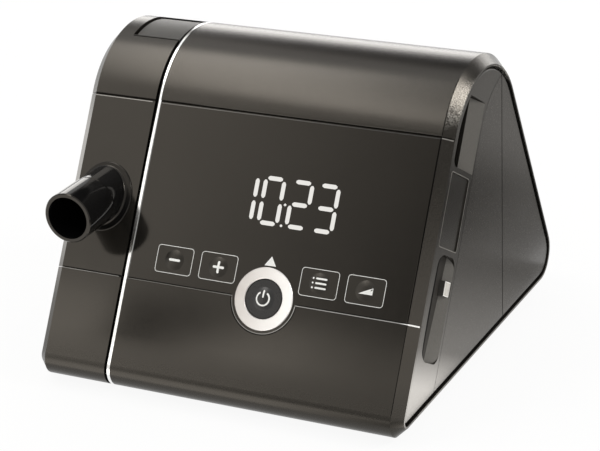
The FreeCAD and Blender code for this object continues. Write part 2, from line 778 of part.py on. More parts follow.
def make_side_strip(blank):
    """The plug-in strip: a finger pocket with a card slot, a shallow panel and a module pocket."""
    floor = X_FACE - GROOVE_DEPTH
    under = floor - POCKET_FLOOR
    low, high = FINGER_S
    behind = side_slab(low - FAR, high + FAR, 0, GROOVE_END_BACK + POCKET_FLOOR, under, X_LEDGE)
    tub = finger_zone(POCKET_FLOOR, under, X_LEDGE).common(behind)
    tub = tub.common(prism(LEDGE_IN + CLEAR, under, X_LEDGE))
    flat = GROOVE_END_BACK - FINGER_IN
    ramp = ramp_pocket(low, high, FINGER_IN, FINGER_END_BACK, flat, flat, FINGER_DEPTH)
    cuts = [ramp.common(finger_zone(0.0, under, X_FACE + WALL))]
    front = side_slab(low - FAR, high + FAR, 0, GROOVE_END_BACK, floor, X_FACE)
    cuts.append(finger_zone(0.0, floor, X_FACE).common(front))
    low, high = MODULE_S
    ramp = ramp_pocket(low, high, MODULE_BACK, MODULE_END_BACK, MODULE_FLAT_LOW, MODULE_FLAT_HIGH,
                       MODULE_DEPTH)
    rounded = side_slab(low, high, MODULE_BACK, MODULE_END_BACK + SEAT, X_LEDGE, X_FACE + WALL, MODULE_R)
    cuts.append(ramp.common(rounded))
    low, high = LABEL_S
    cuts.append(side_slab(low, high, LABEL_BACK, LABEL_END_BACK, X_FACE - LABEL_DEPTH, X_FACE + WALL,
                          LABEL_R))
    cuts.append(card_slab(CARD_CLEAR, under - POCKET_FLOOR, X_FACE))
    cuts.append(socket_slab(CLEAR, X_LEDGE - WALL, X_FACE + WALL))
    return body_of(blank.fuse(tub).cut(cuts))


# ---------------------------------------------------------------- front controls
def cap_solid(x, s, r, h, w):
    """A shallow dome of radius r and height h standing on the level w."""
    return turned([(0, 0), (r, 0), (0, h)], V(x, s, w),
                  arcs={1: dome_middle(r, h)})


def dome_middle(r, h):
    big = (r * r + h * h) / (2 * h)
    half = math.asin(r / big) / 2
    return big * math.sin(half), big * math.cos(half) - big + h


def button_stem_end():
    return -(WINDOW_T + 2 * CLEAR + FLANGE_T + STEM_L)


def make_ring():
    low = -WINDOW_T
    high = RING_PROUD
    edge = RING_CHAMFER
    outline = [(RING_IN_R, low), (RING_R, low), (RING_R, high - edge), (RING_R - edge, high),
               (RING_IN_R + edge, high), (RING_IN_R, high - edge)]
    return set_in(turned(outline, V(RING_X, RING_S, 0)), FRONT)


def make_power_button():
    under = -(WINDOW_T + 2 * CLEAR)
    flange = under - FLANGE_T
    top = BUTTON_PROUD
    edge = RING_CHAMFER
    outline = [(0, button_stem_end()), (STEM_R, button_stem_end()), (STEM_R, flange),
               (BUTTON_R + FLANGE_LAP, flange), (BUTTON_R + FLANGE_LAP, under), (BUTTON_R, under),
               (BUTTON_R, top - edge), (BUTTON_R - edge, top), (DOME_R, top), (0, top + DOME_H)]
    r, h = dome_middle(DOME_R, DOME_H)
    return set_in(turned(outline, V(RING_X, RING_S, 0), arcs={8: (r, top + h)}), FRONT)


def make_key(x):
    under = -(WINDOW_T + 2 * CLEAR)
    flange = under - FLANGE_T
    key = key_slab(x, 0.0, flange, 0.0)
    key = key.fuse(key_slab(x, FLANGE_LAP, flange, under))
    key = key.fuse(disc(x, KEY_S, STEM_R, button_stem_end(), flange))
    key = key.fuse(cap_solid(x, KEY_S, KEY_DOME_R, KEY_DOME_H, 0.0))
    return set_in(body_of(key), FRONT)


def make_switches():
    base = -DISPLAY_BOARD_BACK
    places = [(x, KEY_S, KEY_TRAVEL) for x in key_places()] + [(RING_X, RING_S, BUTTON_TRAVEL)]
    switches = []
    for x, s, travel in places:
        half = SWITCH_W / 2
        switch = slab(x - half, x + half, s - half, s + half, base, base + SWITCH_T)
        top = button_stem_end() - travel - STOP_GAP
        switches.append(body_of(switch.fuse(disc(x, s, PLUNGER_R, base, top))))
    return set_in(Part.makeCompound(switches), FRONT)


# ---------------------------------------------------------------- electronics
def make_display_board():
    x0, x1, s0, s1 = DISPLAY_BOARD
    back = -DISPLAY_BOARD_BACK - BOARD_T
    return set_in(slab(x0, x1, s0, s1, back, -DISPLAY_BOARD_BACK, STEM_R), FRONT)


def make_led_block():
    return set_in(slab(LED_X - LED_W / 2, LED_X + LED_W / 2, LED_S - LED_H / 2, LED_S + LED_H / 2,
                       -DISPLAY_BOARD_BACK, -LED_FACE_BACK), FRONT)


def bar(u, v, length, upright):
    """One light segment: a bar with pointed ends."""
    half = SEGMENT_W / 2
    reach = length / 2
    outline = [(-reach, 0), (-reach + half, -half), (reach - half, -half), (reach, 0),
               (reach - half, half), (-reach + half, half)]
    if upright:
        outline = [(-b, a) for a, b in outline]
    points = [V(u + a, v + b, -LED_FACE_BACK) for a, b in outline]
    return extrude(points, [0] * len(points), V(0, 0, SEGMENT_T))


def make_digit_segments():
    wide = DIGIT_W - 2 * SEGMENT_GAP
    tall = DIGIT_H / 2 - 2 * SEGMENT_GAP
    bars = []
    for shift in DIGIT_SHIFTS:
        left = LED_X + shift
        for step in (-1, 0, 1):
            bars.append(bar(left + DIGIT_W / 2, LED_S + step * DIGIT_H / 2, wide, False))
        for side in (0, 1):
            for step in (-1, 1):
                bars.append(bar(left + side * DIGIT_W, LED_S + step * DIGIT_H / 4, tall, True))
    for drop in COLON_DROPS:
        bars.append(disc(LED_X, LED_S - drop, COLON_R, -LED_FACE_BACK, -LED_FACE_BACK + SEGMENT_T))
    return set_in(Part.makeCompound(bars), FRONT)


def make_main_board():
    x0, x1, s0, s1 = MAIN_BOARD
    front = -MAIN_BOARD_BACK
    board = slab(x0, x1, s0, s1, front - BOARD_T, front, STEM_R)
    for right, up in CHIP_SPOTS:
        x = x0 + right
        s = s0 + up
        board = board.fuse(slab(x, x + CHIP_W, s, s + CHIP_W, front, front + CHIP_T))
    return set_in(body_of(board), FRONT)


def make_board_spacers():
    """Four pillars where the two boards lie over each other."""
    spacers = []
    for x in (MAIN_BOARD[0] + SPACER_IN, MAIN_BOARD[1] - SPACER_IN):
        for s in (MAIN_BOARD[2] + SPACER_IN, DISPLAY_BOARD[3] - SPACER_IN):
            spacers.append(disc(x, s, SPACER_R, -MAIN_BOARD_BACK, -DISPLAY_BOARD_BACK - BOARD_T))
    return set_in(Part.makeCompound(spacers), FRONT)


def card_end():
    return X_FACE - GROOVE_DEPTH + CARD_PROUD


def make_card():
    end = card_end()
    s0 = CARD_S - CARD_W / 2
    s1 = CARD_S + CARD_W / 2
    points = [V(s0, 0, end), V(s1, 0, end), V(s1, 0, end - CARD_L), V(s0 + CARD_CORNER, 0, end - CARD_L),
              V(s0, 0, end - CARD_L + CARD_CORNER)]
    card = extrude(points, [0] * len(points), V(0, CARD_T, 0))
    card.translate(V(0, -CARD_BACK - CARD_T / 2, 0))
    return set_in(card, SIDE)


def make_card_socket():
    """A sheet-metal cage on the main board, open towards the strip."""
    end = X_FACE - GROOVE_DEPTH - POCKET_FLOOR - CARD_CLEAR
    start = card_end() - CARD_L - CARD_CLEAR
    s0 = CARD_S - CARD_W / 2 - CARD_CLEAR - SHEET
    s1 = CARD_S + CARD_W / 2 + CARD_CLEAR + SHEET
    top = CARD_BACK - CARD_T / 2 - CARD_CLEAR - SHEET
    cage = side_slab(s0, s1, top, MAIN_BOARD_BACK, start - SHEET, end)
    return body_of(cage.cut(card_slab(CARD_CLEAR, start, X_RIGHT)))


def make_module_socket():
    end = X_FACE - SOCKET_SINK
    shell = socket_slab(0.0, end - SOCKET_L, end)
    shell = shell.cut(socket_slab(-SOCKET_WALL, end - SOCKET_DEEP, end + WALL))
    half = SOCKET_W / 2 - SOCKET_WALL
    tongue = side_slab(SOCKET_S - half, SOCKET_S + half, SOCKET_BACK - SOCKET_TONGUE_T / 2,
                       SOCKET_BACK + SOCKET_TONGUE_T / 2, end - SOCKET_DEEP, end - SOCKET_TONGUE_T)
    half = SOCKET_W / 2
    base = side_slab(SOCKET_S - half, SOCKET_S + half, MAIN_BOARD_BACK + BOARD_T, SOCKET_BACK,
                     end - SOCKET_L, end - SOCKET_DEEP - SOCKET_WALL)
    return body_of(shell.fuse([tongue, base]))


def power_post_places():
    x0, x1, y0, y1 = POWER_BOARD
    edge = BOARD_POST_EDGE
    return [(x, y) for x in (x0 + edge, x1 - edge) for y in (y0 + edge, y1 - edge)]


def make_power_board():
    x0, x1, y0, y1 = POWER_BOARD
    top = POWER_BOARD_Z + BOARD_T
    middle = (x0 + x1) / 2
    board = slab(x0, x1, y0, y1, POWER_BOARD_Z, top)
    for spot in CAPACITOR_SPOTS:
        board = board.fuse(disc(middle, y0 + spot, CAPACITOR_R, top, top + CAPACITOR_H))
    start = y0 + CHOKE_SPOT
    board = board.fuse(slab(middle - CHOKE_W / 2, middle + CHOKE_W / 2, start, start + CHOKE_L,
                            top, top + CHOKE_H))
    return body_of(board)


def make_dc_inlet():
    """Power socket: a body with a round well that runs out to the sloping back."""
    axis = V(0, 1, 0)
    start = V(INLET_X, INLET_FACE_Y - INLET_L, INLET_Z)
    face = V(INLET_X, INLET_FACE_Y, INLET_Z)
    bore = V(INLET_X, INLET_FACE_Y - INLET_BORE_L, INLET_Z)
    body = Part.makeCylinder(INLET_R, DEPTH / 2, start, axis)
    body = body.common(prism(SEAM, INLET_X - 2 * INLET_R, INLET_X + 2 * INLET_R))
    body = body.cut(Part.makeCylinder(INLET_R - INLET_WALL, DEPTH, face, axis))
    body = body.cut(Part.makeCylinder(INLET_BORE_R, DEPTH, bore, axis))
    pin = Part.makeCylinder(INLET_PIN_R, INLET_BORE_L - INLET_PIN_R, bore, axis)
    return body_of(body.fuse(pin))


# ---------------------------------------------------------------- docking end
def make_trim():
    ring = prism(0.0, X_TRIM, X_MAIN).cut(prism(TRIM_BAND, X_TRIM - WALL, X_MAIN + WALL))
    edges = [edge for edge in ring.Edges if edge.BoundBox.XLength < SEAT and on_skin(edge)]
    return body_of(ring.makeChamfer(TRIM_T / 6, edges))


def on_skin(edge):
    """True for an edge that lies on the housing's outer surface."""
    outer = Part.Face(section_wire(edge.CenterOfMass.x, WALL / 2))
    return not outer.isInside(edge.valueAt((edge.FirstParameter + edge.LastParameter) / 2), 1e-3, True)


def tongue_boxes(grow, x0, x1):
    boxes = []
    for y, z in TONGUE_PLACES:
        boxes.append(Part.makeBox(x1 - x0, TONGUE_W + 2 * grow, TONGUE_T + 2 * grow,
                                  V(x0, y - TONGUE_W / 2 - grow, z - TONGUE_T / 2 - grow)))
    return boxes


def port(r, x0, x1):
    return Part.makeCylinder(r, x1 - x0, V(x0, PORT_Y, TUBE_Z), V(1, 0, 0))


def seal_groove_r():
    return ELBOW_BORE_R + SEAL_LIP + SEAL_GROOVE


def make_dock_wall():
    wall = prism(WALL + CLEAR, X_MAIN, X_DOCK)
    cuts = tongue_boxes(2 * CLEAR, X_MAIN - WALL, X_MAIN + 2 * DOCK_WALL_T)
    cuts.append(port(seal_groove_r() + SEAT, X_MAIN - WALL, X_MAIN + 2 * DOCK_WALL_T))
    return body_of(wall.cut(cuts))


def make_duct_seal():
    """Rubber grommet whose groove grips the dock wall and whose lip meets the side section."""
    lip = seal_groove_r() + SEAL_LIP
    first = X_MAIN - (X_SECTION + SEAM)
    second = first + DOCK_WALL_T
    last = second + SEAL_LIP
    neck = seal_groove_r()
    outline = [(ELBOW_BORE_R, 0), (lip, 0), (lip, -first), (neck, -first), (neck, -second),
               (lip, -second), (lip, -last), (ELBOW_BORE_R, -last)]
    return turned(outline, V(X_SECTION + SEAM, PORT_Y, TUBE_Z), V(-1, 0, 0))


def seal_end():
    return X_DOCK + SEAL_LIP


def make_outlet_hose():
    start = seal_end() + SEAT
    end = SCROLL_PIPE_END + HOSE_LAP
    return corrugated(V(start, PORT_Y, TUBE_Z), V(1, 0, 0), end - start, SCROLL_PIPE_R + SEAT,
                      HOSE_WALL, HOSE_RIDGE, HOSE_RIDGES)


# ---------------------------------------------------------------- blower
def scroll_wire(z, grow):
    """Four quarter arcs, each larger than the last, closed by the cut-off."""
    step = SCROLL_GROW
    centre = V(BLOWER_X, BLOWER_Y, z)
    heading = V(0, -1, 0)
    edges = []
    first = centre + heading * (SCROLL_R + grow)
    for k in range(4):
        r = SCROLL_R + k * step + grow
        turn = heading.cross(UP)
        half = (heading + turn).normalize()
        edges.append(Part.Arc(centre + heading * r, centre + half * r, centre + turn * r).toShape())
        last = centre + turn * r
        centre = centre - turn * step
        heading = turn
    edges.append(Part.LineSegment(last, first).toShape())
    return Part.Wire(edges)


def scroll_solid(grow, z0, z1, pipe_r, pipe_end):
    body = Part.Face(scroll_wire(z0, grow)).extrude(V(0, 0, z1 - z0))
    start = BLOWER_X - SCROLL_R / 2
    return body.fuse(port(pipe_r, pipe_end, start))


def blower_levels():
    floor = TUBE_Z - SCROLL_H / 2
    roof = TUBE_Z + SCROLL_H / 2
    return floor, roof


def make_scroll_halves():
    """The two halves of the spiral blower casing, parted at the height of the outlet."""
    floor, roof = blower_levels()
    outer = scroll_solid(SCROLL_WALL, floor - SCROLL_WALL, roof + SCROLL_WALL,
                         SCROLL_PIPE_R, SCROLL_PIPE_END)
    inner = scroll_solid(0.0, floor, roof, SCROLL_PIPE_BORE, SCROLL_PIPE_END - WALL)
    eye = disc(BLOWER_X, BLOWER_Y, INLET_EYE_R, floor - 2 * SCROLL_WALL, floor + SCROLL_WALL)
    bore = disc(BLOWER_X, BLOWER_Y, SHAFT_R + STATOR_GAP, roof - SCROLL_WALL, roof + 2 * SCROLL_WALL)
    casing = outer.cut([inner, eye, bore])
    below = Part.makeBox(FAR, FAR, FAR, V(-FAR / 2, -FAR / 2, TUBE_Z - FAR))
    return body_of(casing.common(below)), body_of(casing.cut(below))


def make_impeller():
    """Back plate, hub and swept blades, open towards the inlet eye."""
    floor, roof = blower_levels()
    top = roof - IMPELLER_GAP
    low = floor + IMPELLER_GAP
    plate = disc(BLOWER_X, BLOWER_Y, IMPELLER_R, top - IMPELLER_PLATE, top)
    hub = disc(BLOWER_X, BLOWER_Y, HUB_R, low, top)
    blade = swept_blade(low, top - IMPELLER_PLATE)
    parts = [hub]
    for k in range(BLADE_COUNT):
        copy = blade.copy()
        copy.rotate(V(BLOWER_X, BLOWER_Y, 0), UP, k * 360.0 / BLADE_COUNT)
        parts.append(copy)
    wheel = plate.fuse(parts)
    bore = disc(BLOWER_X, BLOWER_Y, SHAFT_R + HUB_FIT, floor, roof)
    return body_of(wheel.cut(bore))


def swept_blade(z0, z1):
    """One blade, curved back against the turn, from the eye to the rim."""
    def at(r, degrees, side):
        angle = math.radians(degrees)
        reach = r + side * BLADE_T / 2
        return V(BLOWER_X + reach * math.cos(angle), BLOWER_Y + reach * math.sin(angle), z0)

    mid_r = (IMPELLER_EYE_R + IMPELLER_R) / 2
    rim_r = IMPELLER_R - BLADE_T
    shift = math.degrees(BLADE_T / mid_r)
    near = [at(IMPELLER_EYE_R, 0, 0), at(mid_r, BLADE_SWEEP * 0.35, 0), at(rim_r, BLADE_SWEEP, 0)]
    far = [at(IMPELLER_EYE_R, shift, 0), at(mid_r, BLADE_SWEEP * 0.35 + shift, 0),
           at(rim_r, BLADE_SWEEP + shift, 0)]
    edges = [Part.Arc(*near).toShape(), Part.LineSegment(near[2], far[2]).toShape(),
             Part.Arc(far[2], far[1], far[0]).toShape(), Part.LineSegment(far[0], near[0]).toShape()]
    return Part.Face(Part.Wire(edges)).extrude(V(0, 0, z1 - z0))


def motor_levels():
    base = blower_levels()[1] + SCROLL_WALL
    lower = base + MOTOR_WALL
    upper = base + MOTOR_H - MOTOR_WALL - BEARING_T
    return base, lower, upper


def make_motor_housing():
    base, lower, upper = motor_levels()
    top = base + MOTOR_H
    can = disc(BLOWER_X, BLOWER_Y, MOTOR_R, base, top)
    room = disc(BLOWER_X, BLOWER_Y, MOTOR_R - MOTOR_WALL, lower, top - MOTOR_WALL)
    seats = []
    for z in (lower, upper):
        seats.append(tube(V(BLOWER_X, BLOWER_Y, z), UP, BEARING_T,
                          BEARING_R + MOTOR_WALL, BEARING_R + SEAT / 2))
    hole = disc(BLOWER_X, BLOWER_Y, SHAFT_R + STATOR_GAP, base - WALL, lower + WALL)
    return body_of(can.cut([room, hole]).fuse(seats))


def make_bearing(z):
    return tube(V(BLOWER_X, BLOWER_Y, z), UP, BEARING_T, BEARING_R, SHAFT_R + SHAFT_FIT)


def rotor_base():
    lower, upper = motor_levels()[1:]
    return (lower + BEARING_T + upper - ROTOR_H) / 2


def make_stator():
    """Laminated ring with winding slots that open towards the rotor."""
    bore = ROTOR_R + STATOR_GAP
    outer = MOTOR_R - MOTOR_WALL - CLEAR
    ring = tube(V(BLOWER_X, BLOWER_Y, rotor_base()), UP, ROTOR_H, outer, bore)
    slots = []
    for k in range(STATOR_SLOTS):
        angle = 2 * math.pi * k / STATOR_SLOTS
        reach = bore + STATOR_SLOT_R - STATOR_GAP
        slots.append(disc(BLOWER_X + reach * math.cos(angle), BLOWER_Y + reach * math.sin(angle),
                          STATOR_SLOT_R, rotor_base(), rotor_base() + ROTOR_H))
    return body_of(ring.cut(slots))


def make_rotor():
    return tube(V(BLOWER_X, BLOWER_Y, rotor_base()), UP, ROTOR_H, ROTOR_R, SHAFT_R + HUB_FIT)


def make_shaft():
    low = blower_levels()[0] + IMPELLER_GAP
    high = motor_levels()[2] + BEARING_T
    return disc(BLOWER_X, BLOWER_Y, SHAFT_R, low, high - SEAT)


# ---------------------------------------------------------------- intake
def lug_places():
    x0, x1, y0, y1 = AIR_BOX
    return [(x, y) for x in (x0 - LUG_OUT, x1 + LUG_OUT) for y in (y0 + LUG_IN, y1 - LUG_IN)]


def air_box_floor():
    return FOOT_LIFT + WALL + PAD_T


def make_air_box():
    x0, x1, y0, y1 = AIR_BOX
    z0 = air_box_floor()
    z1 = z0 + AIR_BOX_H
    wall = AIR_BOX_WALL
    box = slab(x0, x1, y0, y1, z0, z1, 2 * wall)
    room = slab(x0 + wall, x1 - wall, y0 + wall, y1 - wall, z0 + wall, z1 + wall, wall)
    lugs = [disc(x, y, LUG_R, z0, z0 + LUG_H) for x, y in lug_places()]
    pilots = [disc(x, y, SCREW_R, z0 - WALL, z0 + LUG_H - wall) for x, y in lug_places()]
    mouth = intake_box(-INTAKE_WALL - FILTER_STEP, -FAR / 4, -WALL)
    return body_of(box.fuse(lugs).cut([room, mouth] + pilots))


def make_air_box_lid():
    x0, x1, y0, y1 = AIR_BOX
    z0 = air_box_floor() + AIR_BOX_H
    lid = slab(x0, x1, y0, y1, z0, z0 + LID_T, 2 * AIR_BOX_WALL)
    inner = AIR_BOX_WALL + CLEAR
    lip = slab(x0 + inner, x1 - inner, y0 + inner, y1 - inner, z0 - LID_T, z0, AIR_BOX_WALL)
    lip = lip.cut(slab(x0 + 2 * inner, x1 - 2 * inner, y0 + 2 * inner, y1 - 2 * inner,
                       z0 - 2 * LID_T, z0, AIR_BOX_WALL))
    hole = disc(BLOWER_X, BLOWER_Y, INLET_EYE_R, z0 - LID_T, z0 + 2 * LID_T)
    spigot = tube(V(BLOWER_X, BLOWER_Y, z0 + LID_T), UP, SPIGOT_L, BELLOWS_R - SEAT, INLET_EYE_R)
    return body_of(lid.fuse([lip, spigot]).cut(hole))


def make_foam():
    """Two foam blocks that leave a winding way for the air between them."""
    x0, x1, y0, y1 = AIR_BOX
    inner = AIR_BOX_WALL + FOAM_GAP
    z0 = air_box_floor() + inner
    z1 = z0 + AIR_BOX_H - inner - LID_T - FOAM_GAP
    left = slab(x0 + inner, x0 + inner + FOAM_T, y0 + inner, y1 - inner, z0, z1, AIR_BOX_WALL)
    front = slab(x0 + 2 * inner + FOAM_T, x1 - inner, y0 + inner, y0 + inner + FOAM_T, z0, z1, AIR_BOX_WALL)
    return Part.makeCompound([left, front])


def make_bellows():
    base = air_box_floor() + AIR_BOX_H + LID_T
    top = blower_levels()[0] - SCROLL_WALL
    return corrugated(V(BLOWER_X, BLOWER_Y, base), UP, top - base, BELLOWS_R, BELLOWS_WALL,
                      BELLOWS_RIDGE, BELLOWS_RIDGES)


def make_intake_duct():
    outer = intake_box(0.0, -FAR / 8, -WALL).common(prism(WALL + CLEAR, X_MAIN, X_RIGHT))
    front = Part.makeBox(FAR, FAR, FAR, V(-FAR / 2, AIR_BOX[3] - FAR, -FAR / 2))
    seat = -(WALL + FILTER_GAP + FILTER_T)
    room = intake_box(-INTAKE_WALL, seat, WALL)
    throat = intake_box(-INTAKE_WALL - FILTER_STEP, -FAR / 4, seat + WALL)
    return body_of(outer.cut([front, room, throat]))


def make_air_filter():
    face = -(WALL + FILTER_GAP)
    return intake_box(-INTAKE_WALL - FILTER_GAP, face - FILTER_T + SEAT, face)


def hinge_pins(grow, length):
    """Short pins at the cover's lower corners, or the holes that take them."""
    pins = []
    v = INTAKE_V[0] + COVER_GAP + COVER_T / 2
    for u, way in ((-INTAKE_X[1] + COVER_GAP, -1), (-INTAKE_X[0] - COVER_GAP, 1)):
        pin = Part.makeCylinder(HINGE_R + grow, length, V(u, v, -COVER_T / 2), V(way, 0, 0))
        pins.append(set_in(pin, BACK))
    return pins


def make_filter_cover():
    """Slotted door in the back; its lower edge is round about the hinge line."""
    u0 = -INTAKE_X[1] + COVER_GAP
    u1 = -INTAKE_X[0] - COVER_GAP
    v0 = INTAKE_V[0] + COVER_GAP + COVER_T / 2
    v1 = INTAKE_V[1] - COVER_GAP
    low = -COVER_T
    corner = INTAKE_R - COVER_GAP
    plate = extrude([V(u0, v0, low), V(u1, v0, low), V(u1, v1, low), V(u0, v1, low)],
                    [0, 0, corner, corner], V(0, 0, COVER_T))
    roll = Part.makeCylinder(COVER_T / 2, u1 - u0, V(u0, v0, -COVER_T / 2), V(1, 0, 0))
    slots = []
    middle = (v0 + v1) / 2
    for k in range(SLOT_COUNT):
        v = middle + (k - (SLOT_COUNT - 1) / 2) * SLOT_PITCH
        slots.append(slab(u0 + SLOT_END, u1 - SLOT_END, v - SLOT_H / 2, v + SLOT_H / 2,
                          -2 * COVER_T, COVER_T, SLOT_H / 2 - SEAT))
    cover = set_in(plate.fuse(roll).cut(slots), BACK)
    return body_of(cover.fuse(hinge_pins(0.0, HINGE_L)))


def make_case_screws():
    screws = []
    core = SCREW_R - SCREW_FIT
    head = FOOT_LIFT + SCREW_HEAD_T
    for x, y in lug_places():
        outline = [(0, FOOT_LIFT), (SCREW_HEAD_R, FOOT_LIFT), (SCREW_HEAD_R, head - SEAT),
                   (core, head - SEAT), (core, head + SCREW_L), (0, head + SCREW_L)]
        screws.append(turned(outline, V(x, y, 0)))
    return Part.makeCompound(screws)


# ---------------------------------------------------------------- side section
def tube_hole(grow):
    return Part.makeCylinder(TUBE_R + grow, DEPTH / 2, V(TUBE_X, -DEPTH / 2, TUBE_Z), V(0, 1, 0))


def release_box(side, ends, x1, z0):
    y0 = RELEASE_Y[0] + ends
    y1 = RELEASE_Y[1] - ends
    return Part.makeBox(x1 - RELEASE_X0 - side, y1 - y0, FAR, V(RELEASE_X0 + side, y0, z0))


def make_section_covers():
    """Skin of the side section, parted along the same seams as the main housing."""
    skin = sleeve(X_SECTION, X_LEFT)
    parts = skin.cut([seam_knife(FRONT, UPPER_SEAM), seam_knife(FRONT, LOWER_SEAM),
                      seam_knife(BACK, BACK_SEAM)])
    x = (X_SECTION + X_LEFT) / 2
    upper = piece_at(parts, V(x, back_point(2 * BACK_SEAM).y, back_point(2 * BACK_SEAM).z))
    middle = piece_at(parts, front_point(x, (LOWER_SEAM + UPPER_SEAM) / 2, WALL / 2))
    lower = piece_at(parts, V(x, 0, FOOT_LIFT + WALL / 2))
    window = release_box(0.0, 0.0, X_SECTION + WALL, RELEASE_STEM_Z)
    return body_of(upper.cut(window)), body_of(middle.cut(tube_hole(CLEAR))), lower


def back_point(v):
    return BACK.multVec(V(0, v, -WALL / 2))


def make_section_wall():
    """Inner wall of the side section, with the docking tongues and the shelf for the spring."""
    wall = prism(WALL + CLEAR, X_WALL, X_SECTION)
    adds = tongue_boxes(0.0, X_SECTION, X_SECTION + TONGUE_L)
    shelf_top = RELEASE_STEM_Z - SPRING_H
    adds.append(Part.makeBox(SHELF_L, SHELF_L, SHELF_T,
                             V(X_WALL - SHELF_L, RELEASE_STEM_Y - SHELF_L / 2, shelf_top - SHELF_T)))
    notch = release_box(-RELEASE_SIDE_GAP, -RELEASE_GAP, X_SECTION + WALL,
                        RELEASE_STEM_Z + SPRING_H)
    return body_of(wall.fuse(adds).cut([port(ELBOW_R + ELBOW_CLEAR, X_WALL - WALL, X_SECTION + WALL), notch]))


def make_outlet_tube():
    """22 mm air outlet: a seat for the hose cuff, an oval collar on the slope, an inner flange."""
    axis = V(0, 1, 0)
    mouth = V(TUBE_X, TUBE_MOUTH_Y, TUBE_Z)
    end = PORT_Y - elbow_bend()
    rim = (TUBE_R - TUBE_BORE_R) / 4
    seat = Part.makeCylinder(TUBE_R, TUBE_SEAT_L, mouth, axis)
    lip = [edge for edge in seat.Edges if edge.BoundBox.YMax < TUBE_MOUTH_Y + SEAT]
    seat = seat.makeChamfer(rim, lip)
    relief = Part.makeCone(TUBE_R, barrel_r(), TUBE_RELIEF_L, mouth + axis * TUBE_SEAT_L, axis)
    barrel = Part.makeCylinder(barrel_r(), end - TUBE_MOUTH_Y - rim, mouth + axis * rim, axis)
    body = barrel.fuse(make_collar()).removeSplitter()
    body = body.makeFillet(COLLAR_FILLET, collar_root(body))
    flange = Part.makeCylinder(TUBE_FLANGE_R, TUBE_FLANGE_T, V(TUBE_X, TUBE_FLANGE_Y, TUBE_Z), axis)
    bore = Part.makeCylinder(TUBE_BORE_R, DEPTH, mouth - axis * WALL, axis)
    return body_of(body.fuse([seat, relief, flange]).cut(bore))


def barrel_r():
    return TUBE_R - TUBE_STEP


def make_collar():
    """A thin oval plate with a rounded rim, lying on the front slope."""
    centre = V(TUBE_X + COLLAR_SHIFT, TUBE_S - COLLAR_DROP, 0)
    oval = Part.Ellipse(centre + V(0, COLLAR_L / 2, 0), centre + V(COLLAR_W / 2, 0, 0), centre)
    plate = Part.Face(Part.Wire(oval.toShape())).extrude(V(0, 0, COLLAR_T))
    rim = [edge for edge in plate.Edges if edge.BoundBox.ZMin > COLLAR_T - SEAT]
    return set_in(plate.makeFillet(COLLAR_EDGE, rim), FRONT)


def collar_root(body):
    """The edge where the barrel meets the outer face of its collar."""
    level = FRONT.multVec(V(0, 0, COLLAR_T))
    out = FRONT.Rotation.multVec(UP)
    found = []
    for edge in body.Edges:
        ends = [edge.valueAt(edge.FirstParameter), edge.valueAt((edge.FirstParameter + edge.LastParameter) / 2)]
        flat = all(abs((point - level).dot(out)) < SEAT / 10 for point in ends)
        near = all(abs(math.hypot(point.x - TUBE_X, point.z - TUBE_Z) - barrel_r()) < SEAT
                   for point in ends)
        if flat and near:
            found.append(edge)
    return found


def elbow_bend():
    return X_SECTION - TUBE_X


def make_outlet_elbow():
    """Quarter bend from the outlet tube to the docking port."""
    bend = elbow_bend()
    start = V(TUBE_X, PORT_Y - bend, TUBE_Z)
    axis = V(0, 1, 0)
    ring = Part.Face([Part.Wire(Part.makeCircle(ELBOW_R, start, axis)),
                      Part.Wire(Part.makeCircle(ELBOW_BORE_R, start, axis))])
    return ring.revolve(V(X_SECTION, PORT_Y - bend, TUBE_Z), V(0, 0, -1), 90)


def curved_plate(top, bottom, box):
    plate = prism(top, X_LEFT, X_SECTION + WALL).cut(prism(bottom, X_LEFT - WALL, X_SECTION + 2 * WALL))
    return plate.common(box)


def make_release_button():
    low = RELEASE_SINK + RELEASE_T
    x1 = X_SECTION - CLEAR
    face = curved_plate(RELEASE_SINK, low + SEAT, release_box(RELEASE_SIDE_GAP, RELEASE_GAP, x1, RELEASE_STEM_Z))
    lap = RELEASE_FLANGE
    under = max(low, WALL + 2 * CLEAR)
    inner = X_WALL - 2 * CLEAR
    flange = curved_plate(under, under + lap, release_box(-lap, -lap, inner, RELEASE_STEM_Z))
    half = RELEASE_STEM / 2
    x = (RELEASE_X0 + X_WALL) / 2
    stem = Part.makeBox(RELEASE_STEM, RELEASE_STEM, FAR,
                        V(x - half, RELEASE_STEM_Y - half, RELEASE_STEM_Z)).common(prism(under, X_LEFT, X_MAIN))
    return body_of(face.fuse([flange, stem]))


def make_release_spring():
    """Bowed leaf spring between the shelf and the button's stem."""
    x = (RELEASE_X0 + X_WALL) / 2
    base = RELEASE_STEM_Z - SPRING_H + SEAT / 2
    rise = SPRING_H - SEAT
    y0 = RELEASE_STEM_Y - SPRING_H
    y1 = RELEASE_STEM_Y + SPRING_H
    x0 = x - SPRING_W / 2
    outer = Part.Arc(V(x0, y0, base), V(x0, RELEASE_STEM_Y, base + rise), V(x0, y1, base)).toShape()
    t = SPRING_T
    inner = Part.Arc(V(x0, y1 - t, base), V(x0, RELEASE_STEM_Y, base + rise - t), V(x0, y0 + t, base)).toShape()
    feet = [Part.LineSegment(V(x0, y1, base), V(x0, y1 - t, base)).toShape(),
            Part.LineSegment(V(x0, y0 + t, base), V(x0, y0, base)).toShape()]
    return Part.Face(Part.Wire([outer, feet[0], inner, feet[1]])).extrude(V(SPRING_W, 0, 0))


